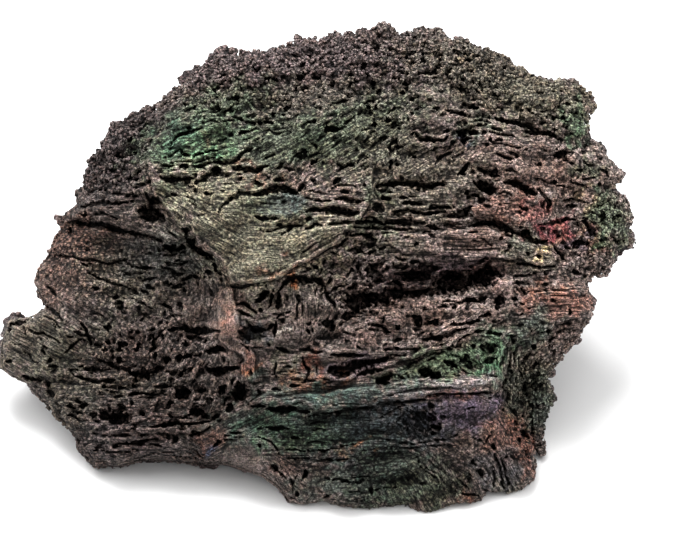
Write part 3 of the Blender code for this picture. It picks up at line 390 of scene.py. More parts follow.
    (0.42, 2.8, 22.2, 53, 23, 53.7, 23.9, 54.9), (0.34, 1.8, 25.4, 53.8, 27, 53.4, 29, 52.9),
    (0.55, 3.4, 29.6, 51.4, 31.2, 51.7, 33, 51), (0.6, 3.2, 32.6, 51, 34.4, 49.9),
    (0.36, 2, 34.6, 50.5, 35.8, 49.5, 36.8, 48.6, 36.4, 47.4),
    (0.55, 2.8, 24.5, 45.4, 26, 45.6, 28, 45.3, 29.6, 44.8, 31.2, 44.2),
    (0.42, 2.6, 31, 44.2, 33, 43.4, 34.6, 42.7, 36.4, 42.4), (0.12, 0.8, 25.4, 43, 28, 42),
    (0.26, 1.6, 20.3, 63.1, 22, 62.8, 23.4, 62.7), (0.32, 1.8, 23, 64, 25.6, 63.9),
    (0.26, 1.4, 26.1, 66.5, 25.8, 68, 26, 69.5), (0.26, 1.4, 27.4, 67, 27.5, 68.2),
    (0.46, 2.6, 28.3, 61.8, 30.5, 61.5, 33, 60.8, 34.9, 60.4),
    (0.5, 2.6, 33, 60, 35, 59.8, 37.9, 59.1), (0.22, 1.6, 27.2, 59.8, 29, 59.6, 31, 59.3),
    (0.16, 1.1, 26.4, 58.3, 29, 57.9, 32, 57.2, 33.6, 56.9), (0.3, 1.6, 35, 62.4, 36.2, 62.5),
    (0.12, 0.8, 36.5, 63.1, 38.2, 62), (0.2, 1, 35, 57.4, 36.2, 57),
    (0.2, 1.2, 38.6, 55.1, 40.4, 54.8), (0.2, 1.2, 41.8, 55.6, 43.4, 54.9),
    (0.26, 1.4, 44.5, 54, 45.4, 53.7, 46.3, 52.9), (0.16, 1, 41.8, 52.5, 44.3, 52.7),
    (0.16, 1.1, 34.4, 52.3, 37, 52, 38.8, 51.5, 39.7, 51.1), (0.14, 0.8, 31, 53.8, 31.8, 53.6),
    (0.12, 0.9, 38.9, 49.2, 40.5, 49.3, 42.1, 49.4),
    (0.28, 1.8, 34.6, 45.3, 36.5, 45.6, 39, 45.9, 41.2, 45.6),
    (0.26, 1.6, 36.9, 42, 38.5, 40.3, 39.3, 39.5),
    (0.2, 1.3, 31.1, 39.1, 33.5, 39, 35.5, 38.6, 37.6, 38.5),
    (0.26, 1.6, 30.7, 37.2, 32.5, 37.1, 34.5, 37.4),
    (0.22, 1.2, 31.3, 36.3, 31.6, 35.4, 32.7, 34.5), (0.12, 0.7, 33, 32.2, 35.2, 32.1),
    (0.12, 0.7, 32.4, 31.2, 35, 31.1), (0.1, 0.7, 33.2, 34.9, 37, 35, 42.6, 35),
    (0.1, 0.5, 35, 34.2, 42.6, 34),
    # bench
    (0.34, 2, 21.7, 29.6, 23.5, 30, 25.2, 30.4),
    (0.36, 2, 16.8, 27, 19.5, 27.8, 21.6, 28.5, 23.4, 29), (0.3, 1.6, 24.9, 28.4, 26, 28.5),
    (0.28, 1.4, 27.4, 30.2, 28.6, 30.1), (0.26, 1.4, 30.6, 33.3, 31.8, 33.6),
    (0.26, 2.2, 10.7, 31.2, 10.6, 29.8), (0.42, 2.2, 8.6, 29.2, 10.4, 29, 11.4, 28.4),
    (0.2, 1.2, 4, 28.5, 5.6, 27.9), (0.26, 1.4, 11.6, 27.2, 13, 27.3),
    (0.14, 0.9, 3.4, 26.8, 5, 26.8), (0.2, 1, 7.6, 30, 7.8, 29),
    (0.2, 1.4, 10.2, 25.6, 13, 25.5, 15.6, 25.8), (0.16, 1, 16, 27.9, 17, 28.5),
    # green triangle, ridge and lower plate
    (0.16, 0.9, 14, 22.8, 15, 23.6), (0.18, 1.2, 12.6, 21.8, 13.6, 20.4),
    (0.12, 0.8, 13.6, 22, 14.4, 20.6), (0.4, 2.4, 20.3, 23.6, 21.4, 23.3, 22.1, 22.7),
    (0.22, 1.2, 17, 24.4, 19.6, 25.2, 22.4, 26.2), (0.12, 0.7, 25.9, 21.4, 28.6, 21.4),
    (0.26, 1.4, 28.9, 22.4, 29.1, 24.4), (0.3, 1.2, -7.2, 19.3, -5.8, 19.4),
    (0.26, 1.2, -9.6, 19.2, -9, 18.6), (0.12, 1, -5, 17.3, -2.6, 16.9, -1.6, 16.3),
    (0.1, 0.8, 1, 17, 4, 16.9, 8, 17.5, 12, 18.4), (0.24, 1.8, -10.2, 16.9, -8, 16.6),
    (0.62, 2.8, -7.5, 16.2, -5.5, 15.9, -3.6, 16.3), (0.2, 1.2, -3, 15.9, -1.5, 15.8),
    (0.18, 1, -1.5, 15.3, 1.5, 15.6, 4, 16.3, 6, 16.7, 9, 16.4),
    (0.3, 1.4, 12, 17.3, 15, 17.8, 17, 18), (0.2, 1.4, 17, 18.4, 22, 18.7, 27.4, 18.9),
    (0.4, 1.4, -7.4, 13.4, -4.6, 13.1), (0.16, 0.9, -9.3, 13.2, -7.6, 13.6),
    (0.22, 1.2, -13.7, 12.9, -12, 12.8), (0.12, 0.7, -15, 12.2, -11.5, 12),
    (0.14, 0.8, -14.8, 11.3, -12.4, 11.5), (0.2, 1, -9.3, 11.8, -7.5, 11.3, -6.6, 10.5, -6, 9.3),
    (0.13, 0.9, -5, 9.9, -2, 9.7, 1.5, 10, 4, 10.4, 6.4, 10.7), (0.16, 0.9, -4.8, 8.7, -1, 8.7),
    (0.34, 0.8, 0, 8, 4.5, 8.2), (0.16, 0.9, 5, 5.5, 6.8, 5.7, 8.6, 5.6),
    (0.13, 0.8, 8, 3.2, 10, 3.7, 12.5, 3.9), (0.2, 1.2, -7.4, 7.5, -6, 6, -5.1, 5.1),
    (0.12, 0.7, -3.2, 6.3, -3.8, 4.5, -4, 3), (0.3, 1.8, -2.2, 6.6, -2, 5.8, -2.3, 5),
    (0.2, 1, -4.8, 2.4, -3.8, 2.3), (0.26, 1.2, 0.8, 2.4, 1.8, 2.7),
    (0.12, 0.7, 13.2, 14.8, 13.9, 13.4, 14.9, 11.6), (0.1, 0.6, 12.3, 14.6, 13, 12.9),
    (0.14, 0.9, 10.3, 15.1, 11.7, 16, 13, 16.9, 14.2, 17.2),
    (0.12, 0.8, 11, 11.3, 15, 10.9, 20, 11.3), (0.12, 0.8, 13, 10.1, 16.5, 10.2, 20.6, 10.4),
    (0.12, 0.7, 15.3, 8.5, 17, 6.5, 19.5, 3.5), (0.1, 0.6, 16.4, 8.2, 18.5, 5.9, 20.5, 3.9),
    (0.1, 0.6, 18, 8.4, 20.3, 5.6), (0.13, 1, 25.7, 10.3, 26.6, 11.3, 27.8, 12.6),
    (0.1, 0.8, 24, 11.9, 25.7, 10.9), (0.1, 0.7, 21, 11.5, 23.2, 12.3),
    (0.3, 1.1, 27.8, 9.5, 28.6, 6.5, 29.6, 3.6), (0.3, 1.1, 28.9, 8.2, 30.2, 4),
    (0.24, 0.9, 27.3, 7, 28.2, 4), (0.4, 1, 26.4, 3.4, 28.5, 2.9, 30, 3),
    (0.16, 1.1, 22.6, 3.2, 24, 2.6, 25.6, 2.2), (0.3, 1.6, 28.6, 17, 30.4, 16, 31.8, 15.2),
    (0.34, 1.8, 33.9, 14, 34.2, 11, 34.3, 9.4), (0.3, 1.4, 30.4, 24.8, 30, 22, 29.4, 19.6),
    (0.2, 1.2, 31.8, 24, 32.2, 20.4), (0.2, 1.2, 34, 23.6, 34.2, 20.8),
]

# Pits and hollows: (u, v, half width, half height, turn in degrees, depth).
PITS = [
    (-26.3, 47, 1.9, 0.9, -10, 4.6), (-25.6, 48.9, 0.8, 0.9, 0, 2.6),
    (-24.6, 46.2, 0.7, 0.4, -30, 2), (-20.6, 44.4, 0.85, 0.62, -20, 2.8),
    (-22.4, 41.7, 1.9, 0.6, 4, 3.4), (-24.6, 42.6, 0.6, 0.4, 0, 1.8),
    (-17.6, 41, 1.3, 0.7, -40, 2.8), (-19.2, 42.4, 0.5, 0.5, 0, 1.8),
    (-49, 23.5, 0.5, 0.35, 0, 1.4), (-42.4, 18.9, 0.6, 0.9, 20, 1.2),
    (-41.8, 22.2, 0.5, 0.4, 0, 1.4), (-25.7, 26.4, 0.42, 1.1, -10, 2.4),
    (-25.5, 24.6, 0.4, 0.9, 0, 2), (-31, 26.3, 0.9, 0.5, 0, 2), (-31.3, 25.6, 0.6, 0.35, 0, 1.6),
    (-31.2, 23.8, 0.7, 0.55, 0, 2), (-28.9, 21.5, 0.8, 0.5, 0, 2), (-23.8, 24.1, 0.7, 0.75, 0, 2.2),
    (-21.9, 24.2, 0.8, 0.75, 15, 2.2), (-20.5, 26.4, 0.5, 0.5, 0, 1.6),
    (-21.2, 18.5, 1.3, 1.1, 10, 3.4), (-18, 18.9, 0.8, 0.4, 0, 2), (-19.2, 15.9, 1.3, 0.75, -10, 3),
    (-17.9, 15.4, 0.6, 0.5, 0, 2), (-16.9, 17.6, 0.7, 0.5, 0, 2), (-15, 19.4, 0.7, 0.5, 0, 2.2),
    (-31.4, 14.6, 1.6, 1.5, 0, 4.4), (-33.6, 15.1, 1, 0.6, 0, 2.4), (-31, 16.6, 0.6, 0.7, 0, 2.4),
    (-37.2, 16.7, 0.5, 0.5, 0, 1.6), (-24.4, 13.4, 0.6, 0.4, 0, 1.8),
    (-35.4, 14.6, 0.5, 0.5, 0, 1.4), (-16, 25.4, 1.8, 0.62, 0, 3.4),
    (-12.3, 18.9, 1.15, 1.4, 0, 3.4), (-13.7, 16.4, 0.8, 1.1, 0, 2.8),
    (-14.6, 18, 0.4, 0.6, 0, 1.8), (-8.6, 34, 0.9, 0.6, 20, 2.6), (-10.2, 28.2, 2, 1.3, 0, 2.2),
    (-9.6, 29.1, 1.5, 0.35, 0, 1.6), (-2.4, 36.3, 1.4, 0.4, 0, 2), (1.8, 29.6, 1.5, 0.7, -15, 2.2),
    (2.6, 28.9, 0.6, 0.6, 0, 1.2), (-1.3, 28.4, 0.3, 0.6, 0, 1.8), (-1, 29.8, 0.4, 0.3, 0, 1.4),
    (17.3, 22.1, 1.3, 0.8, -5, 3.6), (18.4, 21.6, 0.8, 0.6, 0, 3.2),
    (26.9, 25.8, 1.3, 0.9, 20, 1.8), (27.2, 23.8, 0.9, 0.6, 0, 1.6),
    (10.4, 20.8, 1.1, 0.7, 20, 2.6), (15.6, 14, 3.2, 2.2, -25, 1.6), (16.8, 14.3, 2, 1.5, -20, 0.9),
    (18.6, 13, 0.8, 1.3, -20, 1.2), (17.4, 16, 1.4, 0.5, -25, 0.9), (23, 59.5, 1.3, 0.75, 0, 3.4),
    (23.4, 58.4, 0.7, 0.7, 0, 3), (24.4, 59.6, 0.7, 0.5, 0, 2.6), (26.2, 51.5, 1.4, 0.9, 0, 4.6),
    (27.2, 50.8, 1, 0.7, 0, 4.2), (26, 48.9, 0.5, 0.5, 0, 1.6), (27, 48.3, 0.6, 0.3, 0, 1.2),
    (38.4, 56.3, 1.2, 0.7, 12, 3), (41.2, 42.3, 1.3, 0.8, 0, 2.2), (42.3, 45.5, 0.6, 0.4, 0, 2.2),
    (44.8, 51.3, 0.5, 0.4, 0, 1.8), (42.9, 61.2, 0.6, 0.4, 0, 1.6), (22, 72.7, 0.4, 0.4, 0, 1.6),
    (5.2, 54.6, 0.8, 0.35, 0, 1.8), (12.4, 54.7, 0.7, 0.35, 0, 1.4),
    (13.2, 57.8, 0.5, 0.35, 0, 1.4), (8.3, 62.9, 0.3, 0.6, 0, 1.4), (2.4, 60.3, 1.2, 0.6, 10, 3),
    (-0.5, 61.6, 0.4, 0.4, 0, 1.4), (6.6, 33.1, 3, 1.5, 8, 5.4), (9.2, 33.4, 1.8, 1, 0, 4.4),
    (5.2, 31, 1.2, 0.7, 20, 2.4), (12.4, 34.5, 2.2, 0.9, 0, 4.6), (15.6, 34.4, 2, 0.7, 0, 3.8),
    (18.6, 34.6, 2, 0.7, 5, 4), (21.6, 36.1, 3.4, 1.6, 3, 6.6), (26.2, 37, 2.4, 1.2, 12, 5.6),
    (28, 37.4, 1.6, 0.35, 12, 3), (12.6, 36, 0.9, 0.5, 0, 3), (15.8, 37.2, 2.8, 1.1, 0, 4.6),
    (17.6, 38.6, 1.8, 0.6, 0, 2.4), (13, 38.6, 1.4, 0.6, 0, 2.2), (20.6, 37.4, 1.2, 0.7, 0, 2.8),
    (10, 29.3, 0.9, 0.6, 0, 2.4), (15.6, 30.5, 0.8, 0.8, 0, 2.4), (18.4, 29.7, 1.1, 0.45, -20, 2.2),
    (16, 29.6, 0.8, 0.4, 0, 2), (24.6, 33, 1.3, 0.6, 0, 3), (26, 33.4, 0.6, 0.8, -20, 3),
    (28.6, 33, 0.8, 0.9, 0, 3.2), (9.6, 47.7, 1.2, 0.7, 0, 1.8), (35.6, 48.4, 0.5, 0.7, 0, 1.6),
    (8.4, 37.6, 1, 0.9, 0, 1.8), (30, 18.2, 0.8, 1.2, 0, 1.4), (35, 10.2, 0.6, 0.8, 0, 1.2),
    (45, 46.2, 0.9, 0.9, 0, 1.6), (46.6, 44, 0.6, 0.9, 0, 1.4),
]

# Ridges, ribs and raised lips: (half width, height, then u and v of each point).
RIDGES = [
    (0.4, 0.35, -26.6, 52.4, -26, 50.4, -24.2, 47.8, -21.4, 45.3, -19.3, 43.1, -16.8, 40.9, -14.6,
     38.3), (0.35, 0.4, -12, 36.2, -8, 36.6, -4.8, 37.9, -2, 39.8, 1, 41.2, 3.6, 43, 5.6, 44.8),
    (0.3, 0.6, -2.6, 50, -2, 48.6, 0.6, 48.3, 6.6, 48.2),
    (0.24, 0.5, -1.4, 46.3, 2, 46.4, 6.4, 46.5),
    (0.45, 0.9, 7, 51.2, 7.3, 49.4, 7, 47.6, 6.4, 45.8), (0.12, 0.3, -15.9, 46.2, -16.8, 46.9),
    (0.14, 0.4, -17.8, 48, -16.2, 46.9), (0.12, 0.35, -18.3, 47.1, -17, 46.1),
    (0.26, 0.6, -25, 53.3, -21.5, 53.3, -18.8, 53.6), (0.3, 0.6, -19.2, 53.4, -18.6, 52.6),
    (0.3, 0.7, -10.8, 18, -8, 17.6, -5.5, 17.6, -3, 17.4, -1, 16.8, 2, 16.8, 6, 17.3),
    (0.35, 0.7, 6, 17.5, 9.6, 18.2, 12, 19, 14.4, 19.7, 18, 20.1, 24, 20.4, 28.6, 20.8),
    (0.22, 0.5, -4.6, 17.1, -2.4, 16.6, -0.6, 16.2, 1.6, 16.3, 5, 17, 9, 17.6, 12.4, 18.3, 16,
     18.8, 22, 19.1),
    (0.32, 0.8, 2.6, 21, 4.4, 21.2, 6.2, 21.9, 8.2, 22.8, 10.6, 23.1, 13, 23.9, 16, 25, 19, 25.9),
    (0.4, 0.7, 19, 25.9, 21.4, 26.8, 23.6, 28, 25.2, 28.9, 28, 29.9, 30, 31.2),
    (0.24, 0.6, 1.6, 23.9, 4, 24, 6.4, 24.3, 8.4, 24.4),
    (0.24, 0.5, 19.6, 27.3, 22, 27.6, 23.8, 28.2), (0.22, 0.5, 21.5, 29, 23.4, 29.4, 25, 29.4),
    (0.3, 0.5, -33.6, 19.6, -30, 18.9, -26, 19.4),
    (0.26, 0.9, -26.4, 20.4, -23.4, 20.3, -21.6, 21, -19.6, 21.4, -19, 22.6, -18.4, 23.8),
    (0.3, 0.9, -24.2, 21.2, -22.8, 22.4, -21.2, 23),
    (0.42, 0.8, -33, 12.9, -29, 13.2, -26, 12.7, -22, 12.8, -17.6, 13.2),
    (0.2, 0.2, -31.8, 16.9, -30.4, 13.4),
    (0.3, 0.7, -30.4, 13.6, -28.4, 14.6, -26.4, 15.6, -25.4, 17.6),
    (0.3, 0.6, -35.6, 12.6, -35, 13.6, -33.8, 13.9), (0.26, 1.2, -20, 20, -19.6, 18, -20.2, 16.4),
    (0.22, 1, -17, 19.6, -17, 17.6, -15.8, 16.6), (0.24, 1, -13.8, 20.2, -14.4, 18.8, -16, 17.6),
    (0.2, 0.9, -20, 17.4, -18.4, 17.2, -16.8, 17.6), (0.24, 0.5, -36, 11.4, -30, 11.5, -26, 11.9),
    (0.24, 0.5, -36, 10.4, -31, 10.1, -27, 10.4),
    (0.2, 0.5, -23.5, 9.7, -22.2, 9.6, -21.6, 8.4, -20.4, 8.6),
    (0.18, 0.5, -21, 9.9, -19.6, 8.9, -18.4, 8.4), (0.16, 0.4, -19.8, 10.6, -18, 9.4),
    (0.34, 0.9, 15.3, 60.3, 16.4, 59.7, 18, 59.3, 19.6, 59.4, 20.8, 60.1),
    (0.2, 0.5, 22.2, 61.2, 24.4, 61.5, 26.8, 61.1), (0.16, 1.2, 23.5, 59.9, 23.6, 58.8),
    (0.34, 0.9, 28.5, 51.9, 28.4, 50.8, 29.2, 50, 31, 50.3),
    (0.22, 0.5, 24.9, 52.4, 25.4, 53.2, 26.4, 52.8),
    (0.3, 0.6, 25.4, 47.6, 26.6, 47.2, 27.8, 47.7, 28.2, 48.8), (0.24, 0.5, 24.9, 49.4, 25.2, 48),
    (0.2, 0.7, 31.3, 43.7, 32.2, 43), (0.3, 0.8, 4.4, 35.3, 7, 35.3, 10, 35.2, 12.4, 35.6),
    (0.4, 0.8, 3.4, 34.8, 4, 33, 3.8, 31.4), (0.16, 0.8, 13.5, 36.3, 15.6, 36.1, 17.6, 36.4),
    (0.14, 0.6, 13.8, 35.6, 17.4, 35.6), (0.24, 0.7, 7.2, 39.1, 9, 39.2, 10.4, 37.8, 11.6, 36.6),
    (0.24, 0.6, 5.2, 40.2, 8, 39.9, 11, 40.3),
    (0.22, 0.6, 9.2, 44.2, 9.8, 43.4, 9.4, 42.4, 11.4, 42),
    (0.2, 0.6, 8, 42.6, 6.6, 41.9, 8.6, 41.4, 11.6, 40.9), (0.2, 0.5, 5, 42.6, 4.4, 41.6),
    (0.24, 0.7, 10.4, 50, 10.8, 49.9, 11.4, 49.9),
    (0.2, 0.6, 11.8, 48.6, 12.4, 47.8, 15, 47.9, 17.6, 48.4),
    (0.2, 0.4, 18.2, 48.8, 20, 48.6, 21.6, 48.7), (0.2, 0.5, 20.4, 45.6, 23, 46.2, 25, 47),
    (0.24, 0.4, -9.8, 36.4, -10, 35.2, -9.4, 34.6),
    (0.28, 0.9, -12.9, 32.2, -11.6, 31.7, -10.2, 30.9, -9.4, 30.6),
    (0.2, 0.4, -12.6, 33.6, -12.2, 34.6), (0.12, 0.7, -6.6, 32.6, -6.5, 34.6),
    (0.16, 0.6, -5.4, 34.4, -5.3, 32.4), (0.26, 0.6, -12.3, 30.1, -9, 30, -7, 30.2),
    (0.2, 0.7, -12.2, 27.4, -11.4, 26.4, -10, 25.9), (0.24, 0.7, 1.2, 35, 2.9, 35.1, 3.2, 33.8),
    (0.14, 0.4, -0.2, 32.5, 1, 32.8), (0.24, 0.6, 5.6, 28.8, 7.4, 29.6, 8.6, 29.9),
    (0.22, 0.6, 4.8, 28.8, 6.2, 28.2, 7.2, 28.5), (0.24, 0.6, -8, 7.9, -6.4, 6.6, -5, 5.4),
    (0.2, 0.5, -4.6, 6.9, -3, 6.9, -2, 6.8), (0.12, 0.4, 10.6, 15.4, 12, 16.3, 13.2, 17.2),
    (0.2, 0.4, 11, 10.7, 15, 10.5, 20, 10.9, 22, 11), (0.14, 0.3, 8, 9.8, 12, 9.6, 15, 9.9),
    (0.16, 0.3, -11, 15, -9.8, 14.6), (0.16, 0.3, -14, 13.6, -11, 14.8),
    (0.24, 0.5, 31.2, 38.2, 34, 38.1, 36.8, 37.9), (0.24, 0.5, 32, 39.7, 36, 39.5, 38.4, 39.4),
    (0.2, 0.3, 29.2, 13.5, 30.6, 14, 31.8, 13.6), (0.24, 0.4, 32.6, 10, 33.4, 7, 33, 5),
]

# Rounded swellings: (u, v, half width, half height, turn in degrees, height).
SWELLINGS = [
    (-2, 31.8, 3.4, 4.6, 0, 2), (28.9, 36, 2, 1.8, 0, 1.2), (12.5, 31.2, 2.2, 1.6, 0, 1),
    (17.2, 32.6, 1.8, 1.2, 0, 1), (-9.9, 21.4, 1.2, 1, 0, 0.9), (-30, 63, 4, 2.6, 30, 1.2),
    (-18, 69, 4, 2.2, 25, 1), (18, 73, 5, 2.8, 0, 1.2), (2, 71, 6, 3, 0, 1),
    (36, 65, 5, 2.6, 0, 1.2), (46.5, 45, 2.6, 3.2, 0, 1.4), (45, 39.5, 2.2, 1.8, 0, 1),
    (-20.5, 31.6, 3, 1.8, -10, 0.9), (35.4, 18.4, 1.8, 2.8, 0, 1.2), (30.5, 5.5, 3, 2.4, 0, 0.9),
    (4, 4.4, 6, 2, 0, 0.9), (-40, 28.5, 4, 1.8, -20, 0.8), (38, 36.2, 0.9, 0.8, 0, 0.6),
]

# Skin of each part of the face: (u, v, granules, sponge, streaks, streak direction in degrees).
SKIN = [
    (-32, 60, 1, 1, 0.1, 30), (-20, 68, 1, 1, 0.1, 20), (-5, 71, 1, 1, 0, 0), (10, 71, 1, 1, 0, 0),
    (25, 70, 1, 0.9, 0, 0), (38, 65, 0.9, 0.8, 0.2, 0), (-34, 53, 1, 1, 0.2, 0),
    (-8, 64, 0.9, 0.7, 0.3, 10), (12, 64, 0.9, 0.6, 0.4, 25), (-20, 58, 0.5, 0.15, 1, 15),
    (-8, 58, 0.5, 0.15, 1, 20), (4, 57, 0.6, 0.3, 0.9, 35), (12, 56, 0.8, 0.4, 0.5, 40),
    (20, 56, 0.7, 0.3, 0.5, 30), (20, 61, 0.6, 0.3, 0.6, 10), (-22, 48, 0.4, 0, 0.9, -38),
    (-10, 47, 0.45, 0, 0.6, -10), (-14, 42, 0.5, 0, 0.7, -30), (-8, 40, 0.5, 0, 0.5, 10),
    (0, 43, 0.5, 0.1, 0.5, 30), (-19, 53, 0.6, 0.3, 0.8, 0), (-3, 53, 0.7, 0.4, 0.6, 45),
    (2, 48, 0.5, 0.1, 0.9, 0), (-33, 47, 0.5, 0.2, 0.9, -8), (-38, 41, 1, 0.1, 0.3, -10),
    (-42, 36, 0.8, 0, 0.3, -30), (-34, 36, 0.9, 0, 0.4, -15), (-28, 40, 0.7, 0.3, 0.5, -5),
    (-24, 34, 0.7, 0.3, 0.4, 0), (-18, 34, 0.6, 0.1, 0.3, 90), (-21, 38, 0.8, 0.6, 0.4, -10),
    (-30, 31, 0.7, 0.3, 0.3, -40), (-46, 26, 0.25, 0, 0.7, -25), (-40, 27, 0.3, 0.1, 1, -35),
    (-40, 22, 0.5, 0.3, 0.8, -10), (-33, 24, 0.9, 0.45, 0.7, -10), (-26, 24, 0.9, 0.6, 0.5, 60),
    (-20, 26, 0.8, 0.55, 0.6, 45), (-36, 18, 0.5, 0.3, 1, 5), (-28, 18, 0.6, 0.6, 1, 10),
    (-40, 15, 0.8, 0.7, 0.3, 0), (-33, 12, 0.5, 0.3, 1, 5), (-24, 12, 0.5, 0.3, 1, 5),
    (-20, 9, 0.5, 0.3, 0.8, -40), (-16, 20, 0.7, 0.6, 0.5, 60), (-16, 11, 0.5, 0.1, 0.7, 30),
    (-14, 30, 0.15, 0, 0.2, 90), (-12, 24, 0.3, 0.1, 0.3, 90), (-8, 28, 0.3, 0.1, 0.3, 0),
    (-2, 32, 0.5, 0.2, 0.7, 90), (-6, 23, 0.3, 0.1, 0.7, 0), (2, 30, 0.5, 0.3, 0.5, 60),
    (8, 33, 0.8, 0.7, 0.3, 0), (16, 36, 0.6, 0.6, 0.8, 0), (24, 37, 0.6, 0.6, 0.6, 10),
    (6, 38, 0.6, 0.5, 0.6, 45), (10, 46, 0.8, 0.5, 0.6, 0), (18, 46, 0.5, 0.3, 1, 5),
    (22, 50, 0.6, 0.3, 0.5, 0), (32, 55, 0.6, 0.1, 0.6, -12), (30, 48, 0.7, 0.2, 0.5, -5),
    (38, 48, 0.7, 0.3, 0.3, 0), (24, 42, 0.5, 0.1, 0.9, -3), (14, 42, 0.5, 0.1, 0.8, 0),
    (34, 41, 0.6, 0.3, 0.7, -15), (40, 44, 0.8, 0.6, 0.3, -50), (42, 53, 0.7, 0.5, 0.5, -20),
    (46, 47, 1, 1, 0.1, 0), (45, 40, 1, 0.9, 0.1, 0), (38, 33, 0.4, 0, 1, 0),
    (38, 27, 0.8, 0.6, 0.6, 15), (34, 37, 0.6, 0.3, 0.5, 0), (16, 31, 0.7, 0.4, 0.2, 0),
    (6, 27, 0.6, 0.3, 0.3, 0), (22, 29, 0.5, 0.2, 0.7, 25), (29, 34, 0.6, 0.2, 0.2, 0),
    (4, 23, 0.1, 0, 0.2, 10), (16, 23, 0.5, 0.2, 0.8, 20), (24, 24, 0.7, 0.4, 0.6, -35),
    (27, 22, 0.5, 0.1, 0.6, 90), (0, 19, 0.35, 0, 0.6, 0), (14, 19.5, 0.25, 0, 1, 8),
    (25, 20, 0.2, 0, 1, 0), (33, 20, 1, 0.9, 0.4, 90), (35, 12, 1, 0.8, 0.1, 0),
    (-9, 14, 0.4, 0, 0.8, 20), (0, 13, 0.7, 0, 0.9, 0), (8, 14, 0.7, 0, 0.9, 5),
    (15, 13, 0.45, 0, 0.8, -50), (12, 10, 0.85, 0, 1, 0), (-2, 10, 0.85, 0, 1, 0),
    (-12, 9, 0.15, 0, 0.3, 0), (23, 14, 0.6, 0.1, 0.4, 40), (24, 17, 0.6, 0.1, 0.3, 0),
    (30, 12, 0.8, 0.2, 0.3, -60), (24, 9, 0.7, 0.2, 0.5, -30), (18, 6, 0.6, 0, 1, -50),
    (8, 6, 0.9, 0.1, 0.8, 10), (2, 4, 0.5, 0.2, 0.4, 0), (12, 2, 0.6, 0, 0.8, -70),
    (22, 3, 0.6, 0.1, 0.8, -50), (29, 6, 0.4, 0.1, 1, -70), (-5, 5, 0.3, 0.1, 0.6, -50),
]
